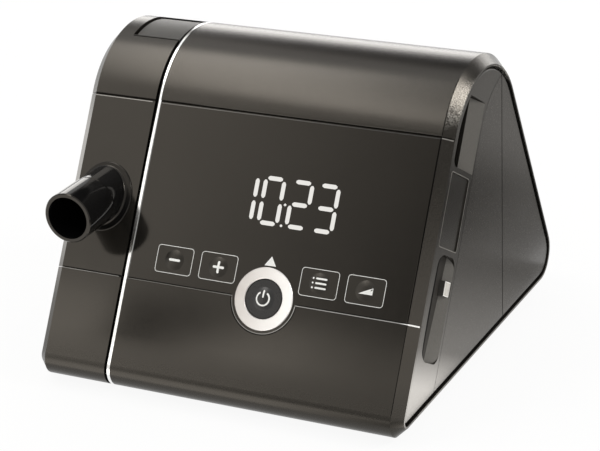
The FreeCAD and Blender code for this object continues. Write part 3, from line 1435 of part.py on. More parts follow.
# ---------------------------------------------------------------- the whole machine
def make_all():
    skin = sleeve(X_MAIN, X_RIGHT).cut([seam_knife(FRONT, UPPER_SEAM), seam_knife(FRONT, LOWER_SEAM),
                                        seam_knife(BACK, BACK_SEAM), base_knife()])
    x = (X_MAIN + X_RIGHT) / 2
    front_skin = piece_at(skin, front_point(x, (LOWER_SEAM + UPPER_SEAM) / 2, WALL / 2))
    lower_skin = piece_at(skin, front_point(x, LOWER_SEAM / 2, WALL / 2))
    top_skin = piece_at(skin, back_point(3 * BACK_SEAM) + V(x, 0, 0))
    base_skin = piece_at(skin, V(x, 0, FOOT_LIFT + WALL / 2))
    strip, panel_front, panel_rear = split_right_cap()
    scroll_base, scroll_cover = make_scroll_halves()
    section_upper, section_middle, section_lower = make_section_covers()
    lower_bearing, upper_bearing = motor_levels()[1:]
    nodes = {
        "front_frame": make_front_frame(front_skin),
        "display_window": make_window(),
        "lower_front_shell": make_lower_shell(lower_skin),
        "top_shell": make_top_shell(top_skin),
        "base_tray": make_base_tray(base_skin),
        "rubber_feet": make_feet(),
        "side_strip": make_side_strip(strip),
        "side_panel_front": panel_front,
        "side_panel_rear": panel_rear,
        "trim_strip": make_trim(),
        "dock_wall": make_dock_wall(),
        "duct_seal": make_duct_seal(),
        "button_ring": make_ring(),
        "power_button": make_power_button(),
        "tact_switches": make_switches(),
        "display_board": make_display_board(),
        "led_block": make_led_block(),
        "digit_segments": make_digit_segments(),
        "main_board": make_main_board(),
        "board_spacers": make_board_spacers(),
        "card_socket": make_card_socket(),
        "memory_card": make_card(),
        "module_socket": make_module_socket(),
        "power_board": make_power_board(),
        "dc_inlet": make_dc_inlet(),
        "scroll_base": scroll_base,
        "scroll_cover": scroll_cover,
        "impeller": make_impeller(),
        "motor_housing": make_motor_housing(),
        "motor_stator": make_stator(),
        "motor_rotor": make_rotor(),
        "motor_shaft": make_shaft(),
        "bearing_lower": make_bearing(lower_bearing),
        "bearing_upper": make_bearing(upper_bearing),
        "blower_bellows": make_bellows(),
        "outlet_hose": make_outlet_hose(),
        "air_box": make_air_box(),
        "air_box_lid": make_air_box_lid(),
        "muffler_foam": make_foam(),
        "intake_duct": make_intake_duct(),
        "air_filter": make_air_filter(),
        "filter_cover": make_filter_cover(),
        "case_screws": make_case_screws(),
        "section_upper_cover": section_upper,
        "section_middle_cover": section_middle,
        "section_lower_cover": section_lower,
        "section_end_cap": end_cap(X_LEFT),
        "section_wall": make_section_wall(),
        "outlet_tube": make_outlet_tube(),
        "outlet_elbow": make_outlet_elbow(),
        "release_button": make_release_button(),
        "release_spring": make_release_spring(),
    }
    for name, place in zip(("key_minus", "key_plus", "key_menu", "key_ramp"), key_places()):
        nodes[name] = make_key(place)
    return nodes


os.makedirs("parts", exist_ok=True)
for name, shape in make_all().items():
    shape.exportStep("parts/" + name + ".step")
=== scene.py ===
import math

import bmesh
import bpy
from mathutils import Matrix, Vector


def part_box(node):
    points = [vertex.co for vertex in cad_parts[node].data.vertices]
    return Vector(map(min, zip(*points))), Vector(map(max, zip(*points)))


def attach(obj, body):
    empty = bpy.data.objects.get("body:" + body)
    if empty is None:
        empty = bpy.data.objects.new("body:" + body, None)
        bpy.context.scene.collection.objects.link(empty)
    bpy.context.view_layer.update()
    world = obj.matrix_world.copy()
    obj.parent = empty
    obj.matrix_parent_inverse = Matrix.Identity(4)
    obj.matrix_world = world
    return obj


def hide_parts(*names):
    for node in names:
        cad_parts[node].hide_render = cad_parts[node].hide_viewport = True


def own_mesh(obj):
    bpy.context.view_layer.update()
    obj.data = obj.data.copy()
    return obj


# The machine as a whole: a tent-shaped bedside unit. Its solids come from the frame, in metres,
# with X to the right, Y to the back and Z up from the table.
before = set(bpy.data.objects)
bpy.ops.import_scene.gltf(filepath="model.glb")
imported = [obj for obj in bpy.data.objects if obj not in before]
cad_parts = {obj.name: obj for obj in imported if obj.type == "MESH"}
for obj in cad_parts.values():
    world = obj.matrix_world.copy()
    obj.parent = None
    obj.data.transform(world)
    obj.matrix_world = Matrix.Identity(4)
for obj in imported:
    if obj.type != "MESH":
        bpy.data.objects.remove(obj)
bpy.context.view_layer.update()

# The view: a long lens at more than arm's length, above the machine and to its right.
EYE = Vector((0.399501, -0.799145, 0.424616))
AHEAD = Vector((-0.41297, 0.82451, -0.38684))
RIGHTWARD = Vector((0.90054, 0.43308, -0.03831))
UPWARD = Vector((-0.13594, 0.36418, 0.92135))

camera_data = bpy.data.cameras.new("camera")
camera_data.lens = 131.813
camera_data.sensor_width = 36.0
camera_data.clip_start = 0.01
camera = bpy.data.objects.new("camera", camera_data)
camera.matrix_world = Matrix.Translation(EYE) @ Matrix((RIGHTWARD, UPWARD, -AHEAD)).transposed().to_4x4()
bpy.context.scene.collection.objects.link(camera)
bpy.context.scene.camera = camera
bpy.context.scene.view_settings.view_transform = "Standard"


# The table and the studio: a pale matt top that runs out of sight, and soft boxes round the
# machine. What the lens and the glossy plastics see beyond it is plain white.
class Value:
    """A socket in a graph of nodes. Sums and products of it add the Math nodes they need."""

    def __init__(self, tree, socket):
        self.tree = tree
        self.socket = socket

    def node(self, kind, settings=None, inputs=None, output=0):
        """One output of a new node. Its settings are set first, then its sockets' values or links."""
        made = self.tree.nodes.new("ShaderNode" + kind)
        for name, setting in (settings or {}).items():
            setattr(made, name, setting)
        for name, given in (inputs or {}).items():
            if isinstance(given, Value):
                self.tree.links.new(given.socket, made.inputs[name])
            else:
                made.inputs[name].default_value = given
        return Value(self.tree, made.outputs[output] if len(made.outputs) else None)

    def math(self, operation, *values):
        return self.node("Math", {"operation": operation}, dict(enumerate(values)))

    def __add__(self, other):
        return self.math("ADD", self, other)

    def __sub__(self, other):
        return self.math("SUBTRACT", self, other)

    def __rsub__(self, other):
        return self.math("SUBTRACT", other, self)

    def __mul__(self, other):
        return self.math("MULTIPLY", self, other)

    __radd__ = __add__
    __rmul__ = __mul__

    def between(self, low, high):
        """0 up to low, 1 from high, and a straight run between."""
        return self.node("MapRange", None, {"Value": self, "From Min": low, "From Max": high})

    def tint(self, colour, other):
        """The first colour where this is 0, the other where it is 1."""
        return self.node("Mix", {"data_type": "RGBA"}, {0: self, 6: (*colour, 1.0), 7: (*other, 1.0)}, 2)


def blank_tree(owner):
    """The emptied graph of a material or of the world, to build in."""
    owner.use_nodes = True
    owner.node_tree.nodes.clear()
    return Value(owner.node_tree, None)


def seen_directly(tree):
    """1 for rays from the lens and for mirror and glass rays, 0 for light that falls on things."""
    rays = [tree.node("LightPath", output=name)
            for name in ("Is Camera Ray", "Is Glossy Ray", "Is Transmission Ray")]
    return tree.math("MAXIMUM", tree.math("MAXIMUM", rays[0], rays[1]), rays[2])


SKY_LIGHT = 0.62
world = bpy.data.worlds.new("studio")
bpy.context.scene.world = world
studio = blank_tree(world)
dim = studio.node("Background", None, {"Color": (1.0, 1.0, 1.0, 1.0), "Strength": SKY_LIGHT})
white = studio.node("Background", None, {"Color": (1.0, 1.0, 1.0, 1.0), "Strength": 1.0})
studio.node("OutputWorld", None, {
    "Surface": studio.node("MixShader", None, {0: seen_directly(studio), 1: dim, 2: white})})


def mesh_piece(name, points, faces, material):
    """A mesh object from points in metres and faces that name them by number."""
    mesh = bpy.data.meshes.new(name)
    mesh.from_pydata(points, [], faces)
    mesh.validate()
    mesh.materials.append(material)
    piece = bpy.data.objects.new(name, mesh)
    bpy.context.scene.collection.objects.link(piece)
    return piece


TABLE_HALF = 2.4
TABLE_CELLS = 12
TABLE_GLOW = 0.92
table_top = bpy.data.materials.new("table_top")
tree = blank_tree(table_top)
paint = tree.node("BsdfDiffuse", None, {"Color": (0.88, 0.88, 0.87, 1.0)})
glow = tree.node("Emission", None, {"Color": (1.0, 1.0, 1.0, 1.0), "Strength": 1.0})
lit = seen_directly(tree) * TABLE_GLOW
tree.node("OutputMaterial", None, {"Surface": tree.node("MixShader", None, {0: lit, 1: paint, 2: glow})})

step = 2 * TABLE_HALF / TABLE_CELLS
row = TABLE_CELLS + 1
table = mesh_piece(
    "table",
    [(-TABLE_HALF + i * step, -TABLE_HALF + k * step, 0.0) for k in range(row) for i in range(row)],
    [(k * row + i, k * row + i + 1, (k + 1) * row + i + 1, (k + 1) * row + i)
     for k in range(TABLE_CELLS) for i in range(TABLE_CELLS)],
    table_top)


def facing(place, towards, upward):
    """The pose of a flat thing at a place: its back along +Z, its top as near upward as can be."""
    back = -Vector(towards).normalized()
    rightward = Vector(upward).cross(back).normalized()
    turned = Matrix((rightward, back.cross(rightward), back)).transposed()
    return Matrix.Translation(Vector(place)) @ turned.to_4x4()


STUDIO_TINT = (1.0, 0.975, 0.94)


def soft_box(name, place, towards, upward, wide, high, level):
    """A lamp with an even flat face that shines towards a side. Level 1 is table white."""
    data = bpy.data.lights.new(name, "AREA")
    data.shape = "RECTANGLE"
    data.size = wide
    data.size_y = high
    data.energy = level * math.pi * wide * high
    data.color = STUDIO_TINT
    lamp = bpy.data.objects.new(name, data)
    lamp.matrix_world = facing(place, towards, upward)
    lamp.visible_camera = False
    bpy.context.scene.collection.objects.link(lamp)


UP = (0.0, 0.0, 1.0)
BACKWARD = (0.0, 1.0, 0.0)
DOWN = (0.0, 0.0, -1.0)
FORWARD = (0.0, -1.0, 0.0)
soft_box("box_overhead", (-0.335, -0.24, 0.75), DOWN, BACKWARD, 0.23, 0.80, 4.6)
soft_box("box_behind", (-0.28, 0.82, 0.34), FORWARD, UP, 1.28, 0.34, 2.5)
soft_box("box_right", (0.82, 0.21, 0.69), (-0.774, -0.227, -0.591), UP, 0.44, 0.20, 15.0)


def studio_card(name, place, towards, upward, wide, high, level):
    """A board that only shows in glossy faces. Its level may change over it; 1 is table white."""
    material = bpy.data.materials.new(name)
    tree = blank_tree(material)
    spot = tree.node("TexCoord", output="Object")
    side, height = (tree.node("SeparateXYZ", None, {"Vector": spot}, axis) for axis in ("X", "Y"))
    glow = tree.node("Emission", None, {"Color": (*STUDIO_TINT, 1.0), "Strength": level(side, height)})
    tree.node("OutputMaterial", None, {"Surface": glow})
    corners = [(i * wide / 2, k * high / 2, 0.0) for i, k in ((-1, -1), (1, -1), (1, 1), (-1, 1))]
    card = mesh_piece(name, corners, [(0, 1, 2, 3)], material)
    card.matrix_world = facing(place, towards, upward)
    card.visible_camera = False
    card.visible_diffuse = False
    card.visible_shadow = False
    card.visible_transmission = False


def from_to(value, low, high, first, last):
    """First up to low, last from high, and an even change between."""
    return value.between(low, high) * (last - first) + first


def front_level(side, height):
    """Brighter to the left for the pane. Below it a bright lower right, a dark wedge on the left, a
    bright far left for the side section, and a dark foot under the rolled edge."""
    slant = height - side * 0.25
    pane = from_to(side, -0.09, 0.10, 1.42, 0.30)
    wedge = from_to(height - side * 0.845, 0.018, 0.048, 2.4, 0.27)
    low = wedge * from_to(side, 0.015, 0.085, 1.0, 0.50) + from_to(side, -0.084, -0.071, 2.1, 0.0)
    below = slant.between(0.045, 0.035)
    return (pane * (1 - below) + low * below) * from_to(slant, -0.080, -0.028, 0.34, 1.0)


def low_front_level(side, height):
    """Dim at its right and at its front, for the rolled front edge."""
    return from_to(side, -0.285, -0.215, 0.3, 2.3) * from_to(height, -0.26, -0.10, 0.30, 1.0)


def ridge_level(side, height):
    """Brighter to the left and upwards, for the dark band in front of the ridge."""
    return from_to(side, 0.08, 0.30, 0.04, 0.62) * from_to(height, -0.04, 0.20, 0.8, 2.2)


def right_level(side, height):
    """A bright strip along its front that fades to the back, for the foot of the right end."""
    strip = from_to(height, -0.01, 0.025, 3.5, 0.22) * from_to(height, -0.062, -0.052, 0.1, 1.0)
    return strip + from_to(height, 0.035, 0.115, 0.84, 0.16)


def far_right_level(side, height):
    """Dark in the middle, brighter at its back and beside the machine, for the right end's panels."""
    front = from_to(height, -0.25, -0.225, 0.16, 0.02)
    back = from_to(height, -0.165, -0.10, 0.0, 0.50)
    return front + back + from_to(side, 0.185, 0.222, 0.0, 0.34)


FRONT_VIEW = (0.4229, 0.7554, -0.5006)
LEFTWARD = (-1.0, 0.0, 0.0)
studio_card("card_front", (-0.2137, -0.4739, 0.2437), FRONT_VIEW, UP, 0.46, 0.55, front_level)
studio_card("card_low_front", (-0.20, -0.36, 0.002), UP, BACKWARD, 0.70, 0.52, low_front_level)
studio_card("flag_behind", (-0.15, 0.50, 0.71), FORWARD, UP, 0.90, 0.48, ridge_level)
studio_card("flag_bevel", (0.435, 0.50, 0.475), FORWARD, UP, 0.37, 0.29,
            lambda side, height: from_to(height, -0.12, 0.0, 0.6, 0.05))
studio_card("card_right", (0.30, -0.03, 0.002), UP, BACKWARD, 0.42, 0.26, right_level)
studio_card("flag_right", (0.35, 0.35, 0.002), UP, BACKWARD, 0.50, 0.50, far_right_level)
studio_card("card_left", (-0.42, 0.15, 0.002), UP, BACKWARD, 0.60, 0.60,
            lambda side, height: from_to(side, -0.22, -0.05, 0.55, 1.8))
studio_card("card_bevel", (0.40, -0.15, 0.17), LEFTWARD, UP, 0.50, 0.20,
            lambda side, height: from_to(height, -0.025, 0.0, 1.6, 0.27))


# ---- Housing shells: front frame, lower front, top with back, base tray and the side section's
# covers. Injection-moulded ABS in a warm anthracite, snapped edge to edge: the frame and the top
# with a fine metallic fleck, the lower front and the covers smooth.
def dress(nodes, material):
    """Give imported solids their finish."""
    for name in nodes:
        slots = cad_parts[name].data.materials
        slots.clear()
        slots.append(material)


def in_place(tree):
    """Where a point of the machine lies, in metres, for patterns that are fixed to it."""
    return tree.node("TexCoord", output="Object")


def across(tree, axis="X"):
    """How far a point lies to the right, or along another axis, in metres."""
    return tree.node("SeparateXYZ", None, {"Vector": in_place(tree)}, axis)


def speckle(tree, size, detail=2.0, hard=0.5):
    """Cloudy noise whose patches are about size metres across."""
    return tree.node("TexNoise", None, {"Vector": in_place(tree), "Scale": 1.0 / size, "Detail": detail,
                                        "Roughness": hard})


def finish_of(name, colour, roughness, bump=None, bump_size=0.0001, **constants):
    """A material whose colour, roughness and bump may vary; everything else is a constant."""
    material = bpy.data.materials.new(name)
    tree = blank_tree(material)
    inputs = {"Base Color": colour(tree), "Roughness": roughness(tree)}
    if bump:
        inputs["Normal"] = tree.node("Bump", None, {"Height": bump(tree), "Distance": bump_size,
                                                    "Strength": 1.0})
    inputs.update({key.replace("_", " "): value for key, value in constants.items()})
    shader = tree.node("BsdfPrincipled", None, inputs)
    tree.node("OutputMaterial", None, {"Surface": shader})
    return material


def grain(size, detail=2.0, hard=0.5):
    """A bump of cloudy patches about size metres across."""
    return lambda tree: speckle(tree, size, detail, hard)


def mottled(colour, other, size, detail=2.0, hard=0.5, low=0.3, high=0.7):
    """A colour that wanders towards another, in patches about size metres across."""
    return lambda tree: speckle(tree, size, detail, hard).between(low, high).tint(colour, other)


def uneven(least, extra, size, detail=2.0, low=0.3, high=0.7):
    """A roughness that wanders up from least by extra, in patches about size metres across."""
    return lambda tree: speckle(tree, size, detail).between(low, high) * extra + least


WARM = (1.0, 0.92, 0.81, 1.0)


def flecked(tree):
    """Anthracite with slow changes of tone and paler metal flecks, and a painted glint of bright grains
    where the bevel bends.
    """
    fleck = speckle(tree, 0.00035, 3.0, 0.7).between(0.55, 0.80)
    tone = speckle(tree, 0.02).between(0.3, 0.7)
    height = across(tree, "Z")
    bend = height.between(0.1150, 0.1200) * height.between(0.1300, 0.1260)
    bevel = across(tree).between(0.0808, 0.0811)
    painted_glint = speckle(tree, 0.00065, 2.0, 0.6).between(0.45, 0.60) * (bend * bevel)
    flecks = fleck * 0.093 + tone * 0.013 + painted_glint * 0.75
    return flecks.tint((0.0060, 0.0055, 0.0047), (0.300, 0.288, 0.264))


def shell_roughness(tree):
    """Uneven, and a little duller over the ridge."""
    return uneven(0.17, 0.06, 0.0006, 3.0)(tree) + across(tree, "Z").between(0.104, 0.116) * 0.03


shell_plastic = finish_of(
    "shell_plastic", flecked, shell_roughness,
    grain(0.0008, 4.0, 0.7), 0.000045, Specular_IOR_Level=0.52, Specular_Tint=WARM)
dress(("front_frame", "top_shell"), shell_plastic)

# The tray's outer right face is painted lighter than the rest: a painted highlight along its rim.
TRAY_RIM_HIGHLIGHT = (0.0848, 0.0849)
tray_plastic = finish_of(
    "tray_plastic",
    lambda tree: across(tree).between(*TRAY_RIM_HIGHLIGHT).tint((0.010, 0.0092, 0.0080), (0.085, 0.080, 0.072)),
    uneven(0.22, 0.06, 0.0006, 3.0),
    grain(0.00045, 2.0), 0.000016, Specular_IOR_Level=0.52, Specular_Tint=WARM)
dress(("base_tray",), tray_plastic)


def skin_roughness(tree):
    """Smooth on the slope, duller at the rolled foot and over the ridge."""
    height = across(tree, "Z")
    return (uneven(0.10, 0.04, 0.0006, 3.0)(tree) + height.between(0.026, 0.016) * 0.16
            + height.between(0.100, 0.112) * 0.13)


skin_plastic = finish_of(
    "skin_plastic",
    mottled((0.0070, 0.0064, 0.0054), (0.0105, 0.0096, 0.0082), 0.02),
    skin_roughness,
    grain(0.0004), 0.000001, Specular_IOR_Level=0.5, Specular_Tint=WARM)
dress(("lower_front_shell", "section_lower_cover", "section_upper_cover", "section_middle_cover"),
      skin_plastic)

# ---- Display window: one smoke-tinted polycarbonate pane over the upper front.
# Pressed in flush between the seams, with holes for the keys and the ring.
smoke = finish_of(
    "smoke_pane",
    mottled((0.0060, 0.0054, 0.0046), (0.0080, 0.0072, 0.0062), 0.03),
    uneven(0.09, 0.03, 0.003),
    Specular_IOR_Level=0.5, Specular_Tint=WARM)
dress(("display_window",), smoke)

# ---- Lit digits: four seven-bar figures and two dots that shine through the pane.
# Milky bars lit from behind by LEDs. Each shows as a thin wafer on the pane's outer face, with
# eased tips.
SLOPE_FOOT = Vector((0.0, -0.0958564, 0.002))
UP_SLOPE = Vector((0.0, 0.5, 0.8660254))
OUTWARD = Vector((0.0, -0.8660254, 0.5))
WAFER = 0.00006
LIFT = 0.03
BAR_STEP = 0.5
TIP_ROUND = (0.0, 0.3, 0.6, 0.87)
TIP_WIDE = 0.42
TIP_BLUNT = 1.15


def on_front(x, s, out=0.0):
    """A point of the front slope: x across, s up the slope and out of it, in millimetres."""
    return SLOPE_FOOT + (Vector((x, 0.0, 0.0)) + UP_SLOPE * s + OUTWARD * out) * 0.001


def just_above(x, s):
    """Where the wafers of the front slope lie."""
    return on_front(x, s, LIFT)


def bar(x, s, long, wide, upright=False, tip=1.0):
    """Rows of three points along a bar; tip is how far its blunt, rounded ends reach."""
    spots = [-long / 2 + tip * p for p in TIP_ROUND]
    middle = long - 2 * tip
    steps = max(2, math.ceil(middle / BAR_STEP))
    spots += [-long / 2 + tip + middle * k / steps for k in range(steps // 2 + 1)]
    spots += [-spot for spot in reversed(spots) if spot < -0.001]
    rows = []
    for spot in spots:
        near = min(1.0, (long / 2 - abs(spot)) / tip)
        half = wide / 2 * (TIP_WIDE + (1.0 - TIP_WIDE) * min(1.0, TIP_BLUNT * near))
        rows.append([(x - side * half, s + spot) if upright else (x + spot, s + side * half)
                     for side in (-1, 0, 1)])
    return rows


def ribbon_piece(name, ribbons, material, place=just_above, outward=OUTWARD):
    """A wafer from rows of flat points; place puts such a point on the machine."""
    points = []
    faces = []
    for rows in ribbons:
        start = len(points)
        wide = len(rows[0])
        points += [place(x, s) for line in rows for x, s in line]
        for k in range(len(rows) - 1):
            for i in range(wide - 1):
                a = start + k * wide + i
                faces.append((a, a + 1, a + wide + 1, a + wide))
    piece = mesh_piece(name, points, faces, material)
    mesh = bmesh.new()
    mesh.from_mesh(piece.data)
    bmesh.ops.recalc_face_normals(mesh, faces=mesh.faces)
    for face in mesh.faces:
        if face.normal.dot(outward) < 0:
            face.normal_flip()
    mesh.to_mesh(piece.data)
    mesh.free()
    solid = piece.modifiers.new("thickness", "SOLIDIFY")
    solid.thickness = WAFER
    solid.offset = -1.0
    return piece


DIGIT_LEFTS = (-5.0, 7.15, 20.05, 32.0)
DIGIT_WIDE = 8.45
DIGIT_LEVELS = (83.1, 92.45, 101.9)
UPRIGHT_LONG = 7.75
LEVEL_LONG = 6.7
BAR_WIDE = 1.85
DOT_WIDE = 1.15
DOT_TIP = 0.57
DOTS = ((17.8, 91.7), (17.7, 82.9))
FIGURES = ("bc", "abcdef", "abged", "abgcd")
BAR_SPOTS = {"a": (0.5, 2, False), "g": (0.5, 1, False), "d": (0.5, 0, False),
             "f": (0, 1.5, True), "b": (1, 1.5, True), "e": (0, 0.5, True), "c": (1, 0.5, True)}


def digit_bars():
    """The bars of all the figures and the two dots. A spot is in figure widths and bar levels."""
    ribbons = []
    for left, figure in zip(DIGIT_LEFTS, FIGURES):
        for letter in figure:
            widths, level, upright = BAR_SPOTS[letter]
            low = DIGIT_LEVELS[int(level)]
            s = low if level == int(level) else (low + DIGIT_LEVELS[int(level) + 1]) / 2
            ribbons.append(bar(left + widths * DIGIT_WIDE, s, UPRIGHT_LONG if upright else LEVEL_LONG,
                               BAR_WIDE, upright))
    for x, s in DOTS:
        ribbons.append(bar(x, s, DOT_WIDE, DOT_WIDE, tip=DOT_TIP))
    return ribbons


def lit_finish(name, colour, strength):
    """Dark plastic that glows in a colour, a little unevenly."""
    material = bpy.data.materials.new(name)
    tree = blank_tree(material)
    warm = speckle(tree, 0.004).between(0.3, 0.7)
    glow = warm.tint(colour, tuple(0.96 * c for c in colour))
    tree.node("OutputMaterial", None, {"Surface": tree.node("BsdfPrincipled", None, {
        "Base Color": speckle(tree, 0.002).tint((0.02, 0.02, 0.02), (0.03, 0.03, 0.03)),
        "Emission Color": glow, "Emission Strength": strength, "Roughness": 0.4})})
    return material


digits = ribbon_piece("lit_digits", digit_bars(), lit_finish("lit_bars", (0.92, 0.90, 0.86), 0.84))
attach(digits, "machine")

# ---- Printed marks on the pane: the pointer over the start button.
# Screen-printed in white ink on the face of the pane.
white_ink = finish_of(
    "white_ink",
    mottled((0.84, 0.84, 0.81), (0.92, 0.92, 0.89), 0.0008, 3.0),
    uneven(0.45, 0.1, 0.001, low=0.2, high=0.8))
POINTER_FOOT = ((13.6, 65.7), (18.9, 65.8))
POINTER_TIP = (16.35, 69.8)
pointer_rows = [[(x + (POINTER_TIP[0] - x) * t, s + (POINTER_TIP[1] - s) * t) for x, s in POINTER_FOOT]
                for t in (0.0, 0.33, 0.66, 0.98)]
pointer = ribbon_piece("pointer_mark", [pointer_rows], white_ink)
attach(pointer, "machine")

# ---- Keys: four flush caps in the pane, each with a shallow dome under the fingertip.
# Moulded in the pane's colour; the outline and the sign are printed on the cap.
KEY_CENTRES = {"key_minus": -27.95, "key_plus": -7.15, "key_menu": 39.35, "key_ramp": 60.15}
KEY_LEVEL = 61.8
KEY_HALF = (8.55, 5.875)
KEY_CORNER = 1.5
KEY_DOME = (4.4, 0.7)
INK_LINE = 0.23
SIGN_SHIFT = 0.3
SIGN_BAR = (5.2, 1.05)
SIGN_TIP = 0.4
MENU_DOT = 0.85
MENU_DOT_TIP = 0.42
MENU_DOT_SHIFT = -3.0
MENU_BAR = (4.9, 0.78)
MENU_BAR_TIP = 0.3
MENU_BAR_SHIFT = 0.7
MENU_STEP = 1.95
WEDGE_LONG = 6.0
WEDGE_HIGH = 2.9
WEDGE_TIP = 0.02
WEDGE_DROP = 1.35
CORNER_STEPS = 6
key_plastic = finish_of(
    "key_plastic",
    mottled((0.0066, 0.0060, 0.0050), (0.0088, 0.0080, 0.0068), 0.01),
    uneven(0.30, 0.05, 0.0006, 3.0),
    grain(0.0003), 0.000001, Specular_IOR_Level=0.42, Specular_Tint=WARM)
dress(tuple(KEY_CENTRES), key_plastic)


def rounded_line(x, s, half_x, half_s, corner, line):
    """Rows of an outer and an inner point round a rectangle with rounded corners."""
    rows = []
    for turn, (cx, cs) in enumerate(((1, 1), (-1, 1), (-1, -1), (1, -1))):
        mx = x + cx * (half_x - corner)
        ms = s + cs * (half_s - corner)
        for k in range(CORNER_STEPS + 1):
            angle = math.pi / 2 * (turn + k / CORNER_STEPS)
            outer = (mx + corner * math.cos(angle), ms + corner * math.sin(angle))
            inner = (mx + (corner - line) * math.cos(angle), ms + (corner - line) * math.sin(angle))
            rows.append([outer, inner])
    rows.append(rows[0])
    return rows


def on_dome(x0, s0, r, h, base):
    """Puts a point on a shallow dome that stands on the level base above the slope."""
    big = (r * r + h * h) / (2 * h)

    def place(x, s):
        away = math.hypot(x - x0, s - s0)
        rise = math.sqrt(big * big - away * away) - big + h if away < r else 0.0
        return on_front(x, s, base + LIFT + rise)
    return place


def menu_sign(x, s):
    """Three lines with a dot before each."""
    ribbons = []
    for step in (-MENU_STEP, 0.0, MENU_STEP):
        ribbons.append(bar(x + MENU_DOT_SHIFT, s + step, MENU_DOT, MENU_DOT, tip=MENU_DOT_TIP))
        ribbons.append(bar(x + MENU_BAR_SHIFT, s + step, *MENU_BAR, tip=MENU_BAR_TIP))
    return ribbons


def ramp_sign(x, s):
    """A right triangle that rises to the right."""
    rows = []
    for t in (0.0, 0.2, 0.4, 0.6, 0.8, 1.0):
        along = x + WEDGE_LONG * (t - 0.5)
        foot = s - WEDGE_DROP
        tall = WEDGE_HIGH * t + WEDGE_TIP
        rows.append([(along, foot + tall * part) for part in (0.0, 0.5, 1.0)])
    return [rows]


SIGNS = {
    "key_minus": lambda x, s: [bar(x, s, *SIGN_BAR, tip=SIGN_TIP)],
    "key_plus": lambda x, s: [bar(x, s, *SIGN_BAR, upright, SIGN_TIP) for upright in (False, True)],
    "key_menu": menu_sign,
    "key_ramp": ramp_sign,
}
for key, centre in KEY_CENTRES.items():
    edge = ribbon_piece(key + "_outline", [rounded_line(centre, KEY_LEVEL, *KEY_HALF, KEY_CORNER, INK_LINE)],
                        white_ink)
    sign = ribbon_piece(key + "_sign", SIGNS[key](centre + SIGN_SHIFT, KEY_LEVEL), white_ink,
                        on_dome(centre, KEY_LEVEL, *KEY_DOME, 0.0))
    for piece in (edge, sign):
        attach(piece, key)

# ---- Edges along the two seams: painted highlights, bright lines under them and round the ring's notch.
# Thin pale wafers stand in for the light that the narrow edges of the shells, the pane and the covers
# catch there.
LOWER_LEVEL = 51.02
UPPER_LEVEL = 127.15
EDGE_LINE = 0.34
EDGE_STEPS = 4
NOTCH = (16.1, 51.9, 14.35)
NOTCH_LINE = 0.30
NOTCH_LEFT = 266.0
NOTCH_RIGHT = 94.0
NOTCH_STEPS = 48
PANE_START = -48.3
PANE_END = 80.2
BEVEL_START = 80.8
BEVEL_END = 84.6
BEVEL_LIFT = 0.04
SECTION_EDGE = (-80.6, -52.6)


def lower_highlight_colour(tree):
    """Painted highlight: brighter towards the right, and brightest by the bevel."""
    highlight_level = across(tree).between(-0.01, 0.03) * 0.30 + across(tree).between(0.0770, 0.0795) * 0.70
    return highlight_level.tint((0.120, 0.113, 0.100), (0.95, 0.94, 0.92))


edge_painted_highlight = finish_of(
    "edge_painted_highlight", lower_highlight_colour,
    uneven(0.3, 0.1, 0.001, low=0.2, high=0.8), Specular_IOR_Level=0.5)


def spread(low, high, steps):
    """Even places from low to high."""
    return [low + (high - low) * k / steps for k in range(steps + 1)]


def straight(x0, x1, s, wide):
    """Rows of two points along a level line on the front slope."""
    return [[(x, s), (x, s + wide)] for x in spread(x0, x1, EDGE_STEPS)]


def arc(x, s, inner, outer, start, end, count):
    """Rows of three points along part of a flat ring; angles in degrees from straight up."""
    rows = []
    for k in range(count + 1):
        angle = math.radians(start + (end - start) * k / count)
        rows.append([(x + r * math.sin(angle), s + r * math.cos(angle))
                     for r in (inner, (inner + outer) / 2, outer)])
    return rows


shell_edge = ribbon_piece(
    "lower_shell_edge_highlight",
    [straight(PANE_START, NOTCH[0] - NOTCH[2], LOWER_LEVEL, EDGE_LINE),
     arc(*NOTCH, NOTCH[2] + NOTCH_LINE, NOTCH_RIGHT, NOTCH_LEFT, NOTCH_STEPS),
     straight(NOTCH[0] + NOTCH[2], BEVEL_START, LOWER_LEVEL, EDGE_LINE)], edge_painted_highlight)
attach(shell_edge, "machine")


def on_bevel(x, s):
    """A point just above the bevel that runs down the right of the front, at 45 degrees."""
    return on_front(x, s, BEVEL_START - x + BEVEL_LIFT)


# A dimmer painted highlight, for the bevel's upper edge and the section's lower edge.
dim_painted_highlight = finish_of(
    "dim_painted_highlight",
    mottled((0.19, 0.18, 0.165), (0.25, 0.24, 0.22), 0.004),
    uneven(0.3, 0.1, 0.001, low=0.2, high=0.8), Specular_IOR_Level=0.5)
for name, level, wide, finish in (("lower_bevel_edge_highlight", LOWER_LEVEL - 0.15, 0.62, edge_painted_highlight),
                                  ("upper_bevel_edge_highlight", UPPER_LEVEL + 0.20, 0.42, dim_painted_highlight)):
    bevel_edge = ribbon_piece(name, [straight(BEVEL_START, BEVEL_END, level, wide)], finish, on_bevel,
                              OUTWARD + Vector((1.0, 0.0, 0.0)))
    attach(bevel_edge, "machine")


def upper_highlight_colour(tree):
    """Painted highlight: bright on the side section, and fading to the right along the pane."""
    fade = across(tree).between(-0.0520, -0.0500) * 0.55 + across(tree).between(-0.05, 0.05) * 0.45
    return fade.tint((0.340, 0.325, 0.300), (0.020, 0.019, 0.017))


faint_painted_highlight = finish_of(
    "faint_painted_highlight", upper_highlight_colour,
    uneven(0.3, 0.1, 0.001, low=0.2, high=0.8), Specular_IOR_Level=0.5)
pane_edge = ribbon_piece("pane_upper_edge_highlight", [straight(PANE_START, PANE_END, UPPER_LEVEL, EDGE_LINE)],
                         faint_painted_highlight)
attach(pane_edge, "machine")
for name, level, finish in (("section_lower_edge_highlight", LOWER_LEVEL, dim_painted_highlight),
                            ("section_upper_edge_highlight", UPPER_LEVEL, faint_painted_highlight)):
    section_edge = ribbon_piece(name, [straight(*SECTION_EDGE, level, EDGE_LINE)], finish)
    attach(section_edge, "side_section")

